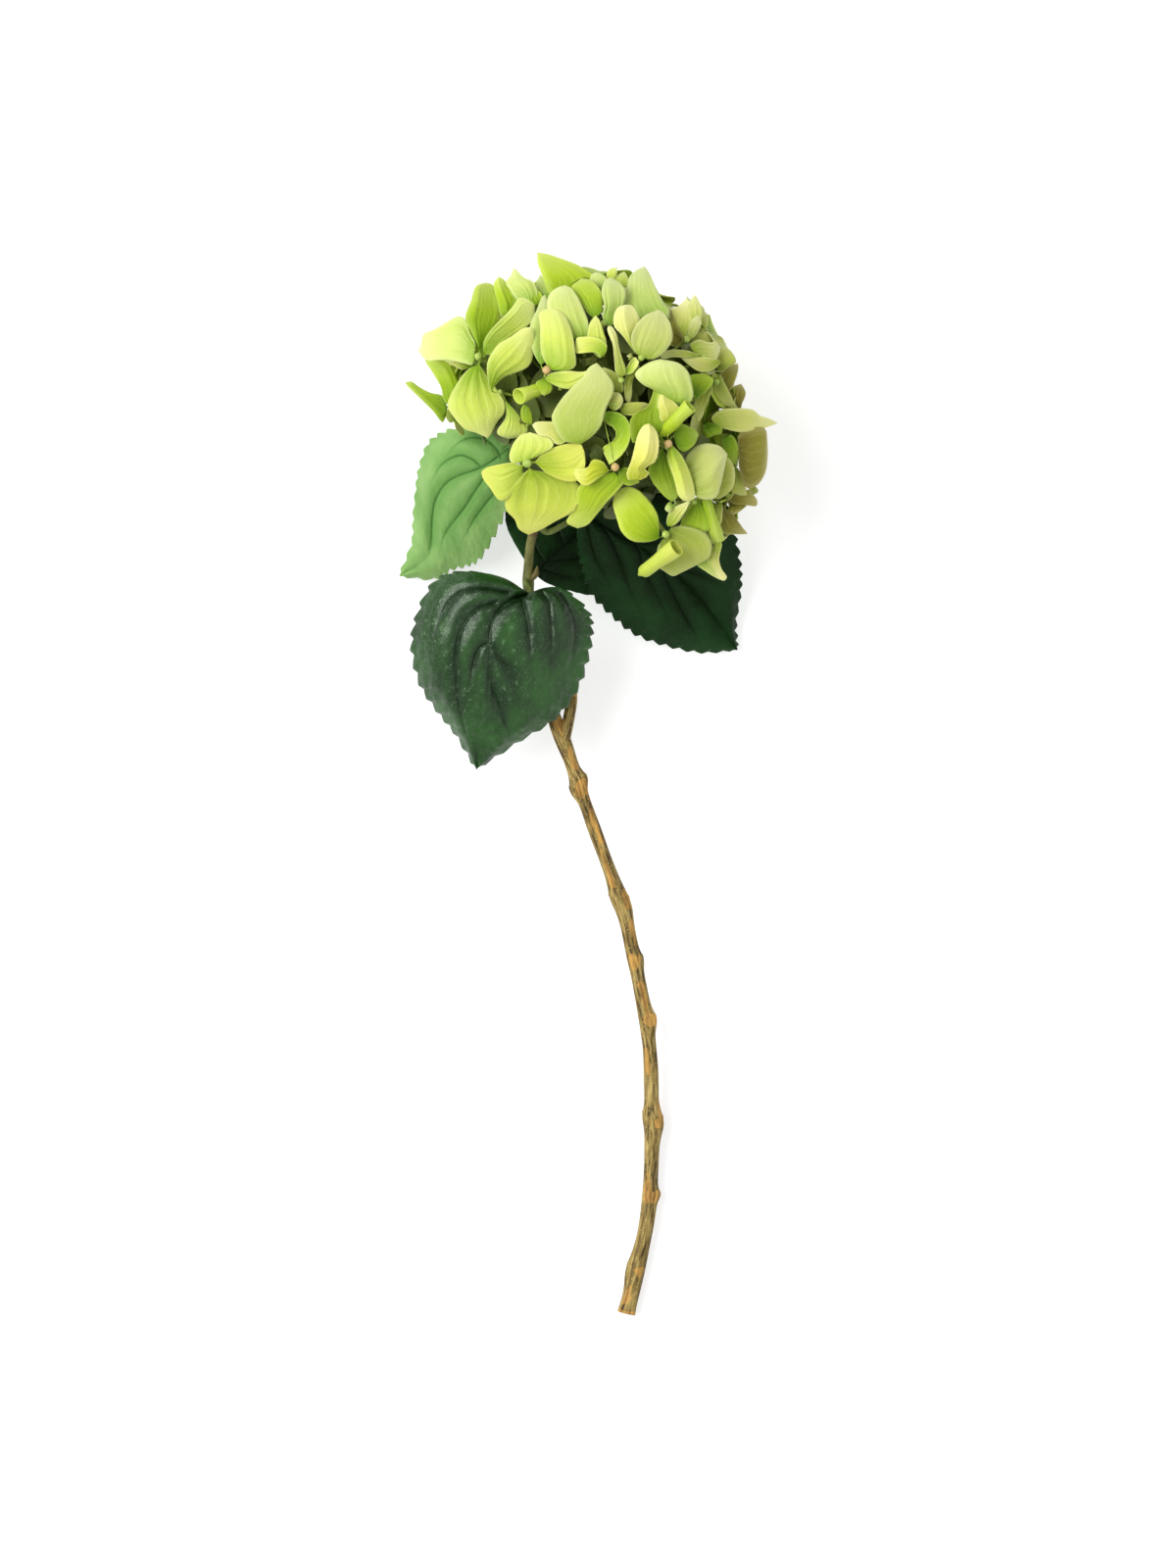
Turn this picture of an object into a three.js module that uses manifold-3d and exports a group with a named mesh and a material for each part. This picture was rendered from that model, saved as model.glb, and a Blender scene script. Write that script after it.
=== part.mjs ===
// A cut hydrangea, laid down on a flat surface: a woody cane that ends in a green flowering stalk,
// four toothed leaves and one mophead of four-sepalled florets.
//
// Millimetres. +Z is up from the surface that the flower lies on, +Y runs up the stem towards the
// bloom, and +X is to the right for somebody who looks down on it. Points below are measured from
// the spot on the surface straight under the middle of the bloom. At the end the whole flower is
// shifted so that the origin is the bottom centre of its box.
import * as THREE from "three";
import { mergeVertices } from "three/addons/utils/BufferGeometryUtils.js";
import Module from "manifold-3d";

const wasm = await Module();
wasm.setup();

// Driving dimensions
const CORE_RADIUS = 33; // knot of branchlets in the middle of the bloom
const FLORET_RADIUS = 61; // from the middle of the bloom to a floret's eye
const SEPAL_LENGTH = 22;
const SEPAL_WIDTH = 23;
const SEPAL_THICKNESS = 0.6;
const EYE_HEIGHT = 2; // of the bead in the middle of a floret
const LEAF_THICKNESS = 0.8;
const PETIOLE_RADIUS = 1.6;
const CANE_RADIUS = 3.4;
const STALK_RADIUS = 2.1;
const WOODY_LENGTH = 318; // along the stem, from its cut end to where the bark gives way to green
const SEAT_GAP = 0.3; // clearance between two pieces that touch

const UP = new THREE.Vector3(0, 0, 1);
const BLOOM_MIDDLE = new THREE.Vector3(0, -3.4, 67);
const vector = (p) => new THREE.Vector3(...p);
const radians = THREE.MathUtils.degToRad;

// ---------------------------------------------------------------- solids

// A closed three.js geometry as a solid.
function solidOf(geometry) {
  const bare = new THREE.BufferGeometry();
  bare.setAttribute("position", geometry.getAttribute("position"));
  bare.setIndex(geometry.index);
  const merged = mergeVertices(bare, 1e-4);
  return new wasm.Manifold(
    new wasm.Mesh({
      numProp: 3,
      vertProperties: new Float32Array(merged.attributes.position.array),
      triVerts: new Uint32Array(merged.index.array),
    }),
  );
}

// The largest body of a solid. Loose scraps go, and a sealed hollow is filled.
function largestBody(solid) {
  return solid.decompose().reduce((best, body) => (body.volume() > best.volume() ? body : best));
}

// A rod of changing thickness that follows a curve between two places on it, each 0 to 1.
// radiusAt(place, angle) gives its radius: angle 0 is the side away from the surface.
function rod(curve, start, end, radiusAt, sides, steps) {
  const geometry = new THREE.CylinderGeometry(1, 1, 1, sides, steps);
  const points = geometry.getAttribute("position");
  for (let i = 0; i < points.count; i++) {
    const x = points.getX(i);
    const z = points.getZ(i);
    const place = THREE.MathUtils.lerp(start, end, points.getY(i) + 0.5);
    const tangent = curve.getTangentAt(place);
    const upward = UP.clone().addScaledVector(tangent, -UP.dot(tangent)).normalize();
    const sideways = upward.clone().cross(tangent);
    const radius = radiusAt(place, Math.atan2(z, x));
    const point = curve.getPointAt(place);
    point.addScaledVector(upward, x * radius).addScaledVector(sideways, z * radius);
    points.setXYZ(i, point.x, point.y, point.z);
  }
  return solidOf(geometry);
}

// A thin blade of even thickness round a surface(s, t). Both faces are split into triangles alike.
// A row whose two ends meet, as at the tip of a leaf, is one point.
function blade(surface, lengthwise, crosswise, thickness) {
  const STEP = 0.01;
  const top = [];
  const bottom = [];
  const rows = lengthwise.map((s) => {
    const pointed = surface(s, -1).distanceTo(surface(s, 1)) < thickness / 4;
    const inside = Math.min(Math.max(s, 3 * STEP), 1 - 3 * STEP);
    return (pointed ? [0] : crosswise).map((t) => {
      const point = surface(s, t);
      const along = surface(inside + STEP, t).sub(surface(inside - STEP, t));
      const across = surface(inside, Math.min(t + STEP, 1)).sub(surface(inside, Math.max(t - STEP, -1)));
      const half = along.cross(across).normalize().multiplyScalar(thickness / 2);
      bottom.push(point.clone().sub(half));
      return top.push(point.add(half)) - 1;
    });
  });
  const triangles = [];
  const face = (a, b, c) => {
    if (a === b || b === c || c === a) return;
    triangles.push(a, b, c, a + top.length, c + top.length, b + top.length);
  };
  const rim = (a, b) => {
    if (a !== b) triangles.push(b, a, a + top.length, b, a + top.length, b + top.length);
  };
  const last = crosswise.length - 1;
  const at = (row, j) => (row.length === 1 ? row[0] : row[j]);
  for (let i = 0; i + 1 < rows.length; i++) {
    for (let j = 0; j < last; j++) {
      face(at(rows[i], j), at(rows[i + 1], j), at(rows[i + 1], j + 1));
      face(at(rows[i], j), at(rows[i + 1], j + 1), at(rows[i], j + 1));
    }
    rim(at(rows[i], 0), at(rows[i + 1], 0));
    rim(at(rows[i + 1], last), at(rows[i], last));
  }
  for (let j = 0; j < last; j++) {
    rim(at(rows[0], j + 1), at(rows[0], j));
    rim(at(rows[rows.length - 1], j), at(rows[rows.length - 1], j + 1));
  }
  const geometry = new THREE.BufferGeometry().setFromPoints([...top, ...bottom]);
  geometry.setIndex(triangles);
  return solidOf(geometry);
}

// Length of an arc's run and rise, for a line of length 1 that sets off at an angle and bends back
// by a turn, both in radians, at a share of its length.
function arc(angle, turn, share) {
  const bend = Math.abs(turn) < 1e-3 ? 1e-3 : turn;
  return {
    run: (Math.sin(angle) - Math.sin(angle - bend * share)) / bend,
    rise: (Math.cos(angle - bend * share) - Math.cos(angle)) / bend,
  };
}

// ---------------------------------------------------------------- stem

// The line of the stem, from its cut end on the surface to the core of the bloom.
const STEM_LINE = new THREE.CatmullRomCurve3(
  [
    [16, -421, 3.9],
    [20, -403, 4.5],
    [26, -377, 5.6],
    [28, -354, 6.6],
    [28.5, -330, 8],
    [27.5, -295, 11],
    [20.5, -255, 15],
    [14, -227, 18.5],
    [1, -191, 23],
    [-10.5, -159, 27],
    [-17, -140, 30],
    [-22.5, -116, 34],
    [-26.5, -93, 38.5],
    [-27.8, -75, 42],
    [-26, -58, 45.5],
    [-20, -42, 51],
    [-12, -22, 60],
  ].map(vector),
  false,
  "catmullrom",
  0.5,
);
const STEM_LENGTH = STEM_LINE.getLength();
const onStem = (distance) => distance / STEM_LENGTH;

// Swellings where leaves once grew: distance from the cut end, height, half-length, and the side
// that they stand out on, in degrees: 0 is up, 90 is right, -90 is left.
const KNOTS = [
  [20, 1.3, 8, -90],
  [57, 1.4, 3, 80],
  [91, 2.3, 7, 85],
  [94, 1.1, 5, -90],
  [139, 1.7, 5, 85],
  [168, 1.3, 4, 40],
  [194, 1.7, 9, 85],
  [199, 0.9, 6, -90],
  [253, 1.9, 5, -80],
  [257, 2.1, 4, 90],
];

// How far the knots swell the cane at one place.
function knotAt(distance, angle) {
  return KNOTS.reduce((sum, [middle, height, reach, side]) => {
    const facing = (1 + Math.cos(angle - radians(side))) / 2;
    return sum + height * facing ** 2 * Math.exp(-(((distance - middle) / reach) ** 2));
  }, 0);
}

// The cane thins a little as it rises, and forks at FORK.
const FORK = 278;
function caneRadius(place, angle) {
  const distance = place * STEM_LENGTH;
  const taper = THREE.MathUtils.mapLinear(distance, 0, WOODY_LENGTH, 1.08, 0.82);
  const foot = 0.6 * Math.exp(-distance / 8);
  const crotch = 0.9 * Math.exp(-(((distance - FORK) / 9) ** 2));
  return CANE_RADIUS * taper + foot + knotAt(distance, angle) + crotch;
}

// The pruned spur that forks off to the right and ends behind the front leaf.
const SPUR_LINE = new THREE.CatmullRomCurve3(
  [
    [-12.5, -153, 28.5],
    [-10, -142, 30.5],
    [-8.4, -132, 32],
    [-9.6, -121, 33],
  ].map(vector),
);

// The cane lies on the surface with a small flat spot at its cut end.
function woodyCane() {
  const rim = (place) => 0.5 * Math.exp(-(((place - 0.95) / 0.08) ** 2));
  const spurRadius = (place) => THREE.MathUtils.lerp(2.9, 2.5, place) + rim(place);
  const cane = rod(STEM_LINE, 0, onStem(WOODY_LENGTH), caneRadius, 10, 46);
  return cane.add(rod(SPUR_LINE, 0, 1, spurRadius, 8, 6)).trimByPlane([0, 0, 1], 0);
}

// The green stalk starts as thick as the cane ends, swells at its two leaf joints, and ends in
// the core of the bloom. extra thickens it, to cut a seat for it.
const LEAF_JOINTS = [354, 384];
function flowerStalk(extra = 0) {
  const radiusAt = (place) => {
    const distance = place * STEM_LENGTH;
    const collar = (CANE_RADIUS * 0.82 - STALK_RADIUS) * Math.exp(-(distance - WOODY_LENGTH) / 12);
    const joints = LEAF_JOINTS.reduce((sum, at) => sum + 0.6 * Math.exp(-(((distance - at) / 5) ** 2)), 0);
    return STALK_RADIUS + collar + joints + extra;
  };
  const end = STEM_LENGTH - 2 * SEAT_GAP + extra;
  return rod(STEM_LINE, onStem(WOODY_LENGTH + SEAT_GAP), onStem(end), radiusAt, 7, 14);
}

// ---------------------------------------------------------------- leaves

// A leaf grows from joint, a distance up the stem, on a stalk through petiole to base. Its midrib
// and its two edges run from base to tip. The blade arches between midrib and edge by arch.
const LEAVES = {
  leaf_front: {
    joint: 354,
    petiole: [[-29, -79.5, 46.5]],
    base: [-27.2, -84.3, 50],
    tip: [-52, -165.7, 30],
    midrib: [[-36.8, -89.8, 55], [-43.3, -96, 57], [-45.6, -109, 57], [-47, -126.6, 52], [-48.8, -145, 44]],
    left: [[-40, -76.5, 52], [-58, -74, 50], [-71, -79, 45], [-79, -94, 41], [-81.5, -109, 39],
      [-77.8, -126, 37], [-69.5, -139, 36], [-61, -150, 34]],
    right: [[-18.9, -81.5, 50], [-10.6, -82.5, 48], [-0.5, -92.5, 45], [1.4, -101, 43], [-0.5, -114, 41],
      [-6, -129.5, 40], [-16.6, -142.7, 39], [-33, -153, 36]],
    arch: 6,
  },
  leaf_left: {
    joint: 388,
    petiole: [[-24, -42, 46]],
    base: [-35.9, -14.5, 46],
    tip: [-88.4, -75, 4],
    midrib: [[-46, -21.5, 46], [-57, -21.5, 42], [-65.4, -29, 36], [-70.9, -41.4, 28], [-73.2, -57.5, 18],
      [-76.5, -68, 11]],
    left: [[-44.7, -6.8, 41], [-56.2, -6.4, 36], [-66.3, -8.7, 31], [-74, -13.8, 27], [-78.3, -24.4, 23],
      [-80.1, -34.5, 19], [-81.5, -48.3, 14], [-82.4, -60.3, 9]],
    right: [[-35.5, -25.3, 42], [-36.4, -36.8, 37], [-39.1, -46, 31], [-44.7, -57.5, 24], [-51.1, -67.2, 18],
      [-57, -70, 14], [-64.5, -71.8, 10], [-72, -76, 6]],
    arch: 2.5,
  },
  leaf_right: {
    joint: 388,
    petiole: [[-16, -50, 44]],
    base: [-1.4, -46, 38],
    tip: [70, -109.6, 3],
    midrib: [[8.3, -53.4, 35], [22.6, -61, 29], [38, -72, 21], [51, -85, 13], [62, -98, 7]],
    left: [[13, -36.8, 34], [27.6, -36.8, 30], [46, -40, 25], [62.2, -47, 19], [68.1, -56.2, 15],
      [70.9, -70, 11], [71.2, -82, 8], [69, -98, 5]],
    right: [[-5.5, -52.5, 36], [-4.6, -62.2, 31], [-2.3, -71.4, 26], [1.8, -83.3, 21], [11.5, -93.5, 16],
      [22.6, -102.2, 11], [36.8, -107.3, 7], [53, -110.5, 4.5]],
    arch: 3,
  },
  leaf_back: {
    joint: 358,
    petiole: [[-26.5, -76, 35]],
    base: [-24.5, -75, 31],
    tip: [16, -36, 6],
    midrib: [[-17, -67, 24], [-8, -59, 16], [2, -51, 10], [10, -43, 7]],
    left: [[-31, -66, 28], [-38, -52, 22], [-37.5, -41, 15], [-30, -32, 9], [-14, -27.5, 6], [4, -30, 5]],
    right: [[-19, -79, 27], [-8, -82.5, 21], [4, -84, 15], [14, -77, 10], [20, -62, 7], [20.5, -47, 6]],
    arch: 2,
  },
};
const VEIN_PAIRS = 6;
const TEETH = 13; // a side
const TOOTH = 1.6;
const QUILT = 1; // height of the blade between two veins

// The middle surface of a leaf: u runs from base to tip, v from the right edge to the left edge.
// extra widens it on either side.
function leafSurface(leaf, extra = 0) {
  const line = (points) =>
    new THREE.CatmullRomCurve3([leaf.base, ...points, leaf.tip].map(vector), false, "catmullrom", 0.5);
  const [midrib, left, right] = [leaf.midrib, leaf.left, leaf.right].map(line);
  return (u, v) => {
    const t = Math.abs(v);
    const middle = midrib.getPoint(u);
    const edge = (v < 0 ? right : left).getPoint(u);
    const outward = edge.clone().sub(middle);
    const tooth = (u * TEETH) % 1 > 0.25 && u < 0.97 ? TOOTH * t ** 8 : 0;
    const quilt = QUILT * Math.abs(Math.sin(Math.PI * VEIN_PAIRS * u)) * Math.sin(Math.PI * t);
    const point = middle.addScaledVector(outward, t);
    point.addScaledVector(outward.normalize(), tooth + 2 * extra * t);
    point.z += 4 * t * (1 - t) * leaf.arch * Math.sin(Math.PI * u) ** 0.5 + quilt;
    return point;
  };
}

// A leaf with its stalk, which goes on under the blade as its rib. It is cut clear of the stem.
// extra thickens it all over, to cut a seat for it.
function leaf(spec, stalkSeat, extra = 0) {
  const rows = Array.from({ length: 2 * TEETH + 1 }, (_, i) => i / (2 * TEETH));
  const columns = [-1, -0.5, 0, 0.5, 1];
  const surface = leafSurface(spec, extra);
  const root = STEM_LINE.getPointAt(onStem(spec.joint));
  const ribPoints = [0, 0.2, 0.4, 0.6].map((u) => surface(u, 0).addScaledVector(UP, -0.7));
  const line = new THREE.CatmullRomCurve3([root, ...spec.petiole.map(vector), ...ribPoints]);
  const radiusAt = (place) => PETIOLE_RADIUS * (1 - 0.55 * place) + extra;
  const petiole = rod(line, 0, 1, radiusAt, 5, 9).subtract(stalkSeat);
  return largestBody(blade(surface, rows, columns, LEAF_THICKNESS + 2 * extra).add(petiole));
}

// ---------------------------------------------------------------- bloom

// Florets that show from above, measured from the middle of the bloom: where the eye is, and for
// each sepal its tip, its width, how far its middle stands out from the straight line between eye
// and tip, and cup, the angle in degrees that each half turns up (or down, below 0) to its edge.
const SHOWN_FLORETS = [
  { eye: [-27.7, -21.6, 54], sepals: [[-49, -25.3, 43, 22, 3, -12], [-25.7, -7.3, 60, 20, 2, 16],
    [-2.3, -18.6, 57, 15, 2, 10], [-26.2, -53.7, 33, 38, 6, -14]] },
  { eye: [12.2, -23.5, 56], sepals: [[-3.6, -50.6, 37, 23, 4, -14], [14.7, 2, 60, 14, 3, 110],
    [23.5, -31.4, 49, 13, 2, 30], [1, -14.7, 54, 12, 2, 30]] },
  { eye: [-48.7, 27, 33], sepals: [[-77.6, 36.1, 17, 23, 4, -14], [-51, 60.5, 19, 18, 4, 30],
    [-27.4, 51.9, 38, 15, 3, 45], [-47.8, -8.5, 36, 28, 5, -16]] },
  { eye: [-24.8, 32.9, 50], sepals: [[-45.1, 12.2, 45, 21, 6, 55], [-27.4, 14.7, 52, 14, 2, 40],
    [-9.8, 49.6, 50, 17, 4, 55], [-23.5, 55.9, 39, 15, 3, 20]] },
  { eye: [-4.5, 36.1, 53], sepals: [[-11.3, 60, 43, 22, 4, 12], [2, 63.6, 37, 15, 3, 35],
    [5.9, 29.4, 58, 11, 2, 20], [-15.7, 27, 57, 14, 2, 20]] },
  { eye: [10.8, 41.2, 50], sepals: [[6.9, 65.9, 37, 16, 3, 30], [5.4, 26.2, 59, 9, 2, 60],
    [16.7, 64.7, 32, 12, 2, 30], [23.5, 37.2, 50, 12, 2, 20]] },
  { eye: [-15.7, 56.8, 32], sepals: [[-23, 75.3, 17, 22, 2, 10], [2, 67.1, 24, 18, 3, 16],
    [-32.9, 67.6, 19, 15, 3, 20], [-19.6, 43.1, 42, 13, 2, 20]] },
  { eye: [-36.3, 50, 26], sepals: [[-43.1, 64.1, 14, 12, 2, 50], [-33.3, 64.7, 21, 11, 2, 50],
    [-49, 44.1, 24, 13, 2, 20], [-29.4, 41.2, 38, 14, 2, 20]] },
  { eye: [30.7, 45.1, 39], sepals: [[25.7, 68.6, 28, 23, 3, 12], [44.1, 41.2, 33, 14, 2, 30],
    [15.7, 56.8, 38, 14, 2, 30], [33.3, 35.3, 45, 13, 2, 20]] },
  { eye: [25.3, 26.2, 54], sepals: [[12.7, 50, 50, 19, 5, 22], [33.8, 48.5, 49, 23, 5, 26],
    [40.2, 21.6, 50, 17, 3, 10], [10.8, 16.7, 61, 13, 3, 55]] },
  { eye: [45.1, 34.3, 38], sepals: [[46.1, 55.1, 20, 15, 3, 20], [56.8, 46.5, 17, 14, 3, 24],
    [58.8, 35.3, 21, 13, 3, 30], [35.3, 44.1, 41, 13, 2, 30]] },
  { eye: [48, 27.4, 41], sepals: [[35.3, 27.4, 51, 15, 2, 20], [62.7, 28.4, 28, 17, 3, 10],
    [49, 37.2, 40, 14, 2, 20], [50, 16.7, 43, 17, 2, 16]] },
  { eye: [22.5, 11.3, 58], sepals: [[48.3, 13.7, 47, 26, 6, -28], [8.8, 5.9, 62, 10, 2, 30],
    [19.6, 24.5, 58, 11, 2, 60], [27.9, -6.8, 56, 16, 3, 40]] },
  { eye: [-9.8, -12.2, 60], sepals: [[4.5, 23, 68, 28, 6, -24], [-24.8, -3.9, 60, 12, 2, 30],
    [2.9, -12.7, 60, 11, 2, 30], [-6.9, -24.5, 55, 12, 2, 10]] },
  { eye: [-18.9, 20, 58], sepals: [[2.7, 20.6, 64, 11, 3, 30], [-23.5, 9.8, 57, 10, 2, 100],
    [-33.3, 11.8, 52, 11, 2, 120], [-15.7, 7.8, 57, 10, 2, 40]] },
  { eye: [30.7, -8.4, 57], sepals: [[47, 6.4, 57, 15, 2, 150], [36.3, 11.8, 55, 10, 2, 30],
    [20.8, -27.4, 55, 17, 4, 65], [49, -9.8, 46, 13, 2, 20]] },
  { eye: [37.4, -17.6, 51], sepals: [[41.2, -38.2, 41, 15, 3, 80], [27.9, -37.7, 45, 14, 3, 60],
    [51, -19.6, 43, 12, 2, 30], [41.2, -4.9, 52, 10, 2, 20]] },
  { eye: [47, -33.3, 40], sepals: [[59.6, -13.5, 38, 22, 5, -20], [68.6, -26.5, 22, 19, 4, 10],
    [51, -51.9, 28, 15, 3, 10], [37.2, -41.2, 42, 11, 2, 20]] },
  { eye: [61, -2.3, 27], sepals: [[87.2, -2.9, 8, 13, 4, 30], [61.7, 19.9, 25, 13, 3, 30],
    [72.5, 13.7, 13, 11, 3, 30], [52.9, -7.8, 38, 12, 2, 30]] },
  { eye: [64.1, -10.8, 20], sepals: [[78.4, -30.4, 3, 25, 6, -20], [83.8, -10.8, 1, 18, 4, 10],
    [61.7, -25.5, 24, 16, 2, 10], [68.6, 4.9, 12, 14, 2, 10]] },
  { eye: [52.3, -3.9, 42], sepals: [[53.9, 16.7, 42, 10, 3, 55], [44.1, -9.8, 47, 10, 2, 50],
    [62.7, -9.8, 34, 11, 2, 20], [64.7, 5.9, 34, 11, 2, 20]] },
  { eye: [64.1, 13.7, 17], sepals: [[62.7, 32.8, 14, 14, 3, 30], [74, 22.5, 3, 14, 3, 30],
    [53.9, 19.6, 30, 12, 2, 30], [76.4, 8.8, 3, 13, 3, 20]] },
  { eye: [64.7, -39.2, 14], sepals: [[78.4, -36.3, 1, 14, 3, 30], [72, -52.9, 1, 14, 3, 30],
    [70.6, -25.5, 13, 12, 2, 30], [56.8, -49, 18, 13, 2, 20]] },
  { eye: [52.9, -39.2, 32], sepals: [[62.2, -57.8, 18, 15, 2, 130], [64.7, -34.3, 24, 14, 2, 20],
    [43.1, -47, 32, 13, 2, 20], [52.9, -25.5, 36, 12, 2, 20]] },
  { eye: [35.7, -53.7, 34], sepals: [[16.7, -36.3, 43, 22, 4, -24], [43.1, -37.2, 38, 12, 2, 20],
    [51.9, -69.6, 17, 22, 4, 16], [23, -73.5, 21, 17, 3, 120]] },
  { eye: [52.9, -58.8, 15], sepals: [[62.2, -75.5, 3, 15, 3, 20], [66.6, -58.8, 5, 14, 2, 20],
    [43.1, -70.6, 8, 14, 2, 20], [51, -47, 24, 13, 2, 20]] },
  { eye: [-65.7, 2, 6], sepals: [[-84.3, 15.4, 1, 11, 2, 40], [-71.5, 24.8, 8, 16, 3, 20],
    [-58.8, 19.6, 20, 15, 2, 20], [-63.7, -15.7, 0, 14, 2, 20]] },
  { eye: [-32.3, 2, 49], sepals: [[-40.2, -10.8, 42, 12, 2, 20], [-26.5, -8.8, 51, 10, 2, 20],
    [-44.1, 7.8, 42, 12, 2, 20], [-21.6, 9.8, 55, 11, 2, 20]] },
];

// Florets of the sides and the underside stand on an even spiral round the bloom.
const SPIRAL_FLORETS = 46;
const SPIRAL_SPACING = 21; // smallest distance between two eyes
// Where the stalk comes in, and where the left leaf does: no spiral floret in these cones.
const OPEN_CONES = [[-0.41, -0.84, -0.34, 52], [-0.85, -0.5, 0.05, 30]];

// Florets under the bloom, pressed flat by its weight: the spots that it rests on.
const PRESSED_FLORETS = [[-24, -6], [22, -14], [2, 26]];
const PRESSED_LENGTH = 20;
const PRESSED_RISE = 5;

// A repeatable draw from -1 to 1.
let seed = 2024;
function draw() {
  seed = (seed * 16807) % 2147483647;
  return (2 * seed) / 2147483647 - 1;
}

// The middle surface of a sepal: s runs from the eye to the tip, t from edge to edge.
// It stays on its own side of the halfway lines to its neighbours, and never goes below floor.
function sepalSurface({ tip, width, bow, cup, room }, eye, facing, floor) {
  const run = tip.clone().sub(eye);
  const length = run.length();
  const away = facing.clone().addScaledVector(run, -facing.dot(run) / length ** 2).normalize();
  const sideways = away.clone().cross(run).normalize();
  return (s, t) => {
    const wide = (width / 2) * Math.sin(Math.PI * s ** 1.2) ** 0.85;
    const halfWidth = Math.min(wide, 0.95 * s * length * Math.tan(Math.min(room[t < 0 ? 0 : 1], 1.4)));
    const across = arc(0, -radians(cup), Math.abs(t));
    const point = eye.clone().addScaledVector(run, s);
    point.addScaledVector(sideways, Math.sign(t) * halfWidth * across.run);
    point.addScaledVector(away, halfWidth * across.rise + 4 * bow * s * (1 - s));
    point.z = Math.max(point.z, floor);
    return point;
  };
}

// The sepals in order round the eye, each with the angle to the halfway line on either side.
function inOrder(sepals, eye, facing) {
  const first = sepals[0].tip.clone().sub(eye);
  first.addScaledVector(facing, -facing.dot(first)).normalize();
  const second = facing.clone().cross(first);
  const full = 2 * Math.PI;
  const turn = ({ tip }) => {
    const run = tip.clone().sub(eye);
    return (Math.atan2(run.dot(second), run.dot(first)) + full) % full;
  };
  const ordered = [...sepals].sort((one, other) => turn(one) - turn(other));
  const ahead = ordered.map((sepal, i) => {
    const next = ordered[(i + 1) % ordered.length];
    return ((turn(next) - turn(sepal) + full) % full) / 2;
  });
  return ordered.map((sepal, i) => ({ ...sepal, room: [ahead.at(i - 1), ahead[i]] }));
}

// One floret as one sheet of even thickness with a lobe for each sepal. Its middle rises to the
// eye on the upper side, and runs down to a point in the core, as the pedicel, on the lower side.
function floret({ eye, facing, sepals, floor, rows }) {
  const toMiddle = BLOOM_MIDDLE.clone().sub(eye);
  const top = [eye.clone().addScaledVector(facing, EYE_HEIGHT)];
  const bottom = [eye.clone().addScaledVector(toMiddle, 0.85)];
  const point = (surface, s, t) => {
    const middle = surface(s, t);
    const along = surface(s, t).sub(surface(s - 0.02, t));
    const across = surface(s - 0.02, Math.min(t + 0.02, 1)).sub(surface(s - 0.02, Math.max(t - 0.02, -1)));
    const half = along.cross(across).normalize().multiplyScalar(SEPAL_THICKNESS / 2);
    bottom.push(middle.clone().sub(half));
    return top.push(middle.add(half)) - 1;
  };
  const lobes = inOrder(sepals, eye, facing).map((sepal) => {
    const surface = sepalSurface(sepal, eye, facing, floor);
    return rows.map((s) => (s === 1 ? [point(surface, 1, 0)] : [-1, 0, 1].map((t) => point(surface, s, t))));
  });
  const triangles = [];
  const face = (a, b, c) => triangles.push(a, b, c, a + top.length, c + top.length, b + top.length);
  const rim = (a, b) => triangles.push(b, a, a + top.length, b, a + top.length, b + top.length);
  lobes.forEach((lobe, k) => {
    const [start, middle, end] = lobe[0];
    const next = lobes[(k + 1) % lobes.length][0][0];
    face(0, start, middle);
    face(0, middle, end);
    face(0, end, next);
    rim(end, next);
    for (let i = 0; i + 1 < lobe.length; i++) {
      const [a, b, c] = lobe[i];
      const [d, e = d, f = d] = lobe[i + 1];
      face(a, d, b);
      face(b, f, c);
      if (d !== e) {
        face(d, e, b);
        face(b, e, f);
      }
      rim(a, d);
      rim(f, c);
    }
  });
  const geometry = new THREE.BufferGeometry().setFromPoints([...top, ...bottom]);
  geometry.setIndex(triangles);
  return solidOf(geometry);
}

// A floret that shows from above. It faces half way between straight out and straight up.
function shownFloret({ eye, sepals }) {
  return {
    eye: vector(eye).add(BLOOM_MIDDLE),
    facing: vector(eye).normalize().add(UP).normalize(),
    floor: 2.5,
    rows: [0.16, 0.5, 0.82, 1],
    sepals: sepals.map(([x, y, z, width, bow, cup]) => {
      return { tip: vector([x, y, z]).add(BLOOM_MIDDLE), width, bow, cup };
    }),
  };
}

// A floret on the spiral: its sepals stand evenly round its eye, after a drawn turn, and lean in
// to follow the round of the bloom.
function spiralFloret(direction) {
  const first = new THREE.Vector3(-direction.y, direction.x, 0.3).cross(direction).normalize();
  const second = direction.clone().cross(first);
  const turn = 45 * draw();
  const size = 1 + 0.12 * draw();
  const eye = BLOOM_MIDDLE.clone().addScaledVector(direction, FLORET_RADIUS + 3 * draw());
  const sepals = [6, -4, 3, -6].map((lift, i) => {
    const angle = radians(turn + 90 * i + 8 * draw());
    const tip = eye.clone().addScaledVector(direction, lift - 1);
    tip.addScaledVector(first, SEPAL_LENGTH * size * Math.cos(angle));
    tip.addScaledVector(second, SEPAL_LENGTH * size * Math.sin(angle));
    return { tip, width: SEPAL_WIDTH * size, bow: 3, cup: 4 * lift };
  });
  return { eye, facing: direction, sepals, floor: 2.5, rows: [0.16, 0.6, 1] };
}

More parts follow.
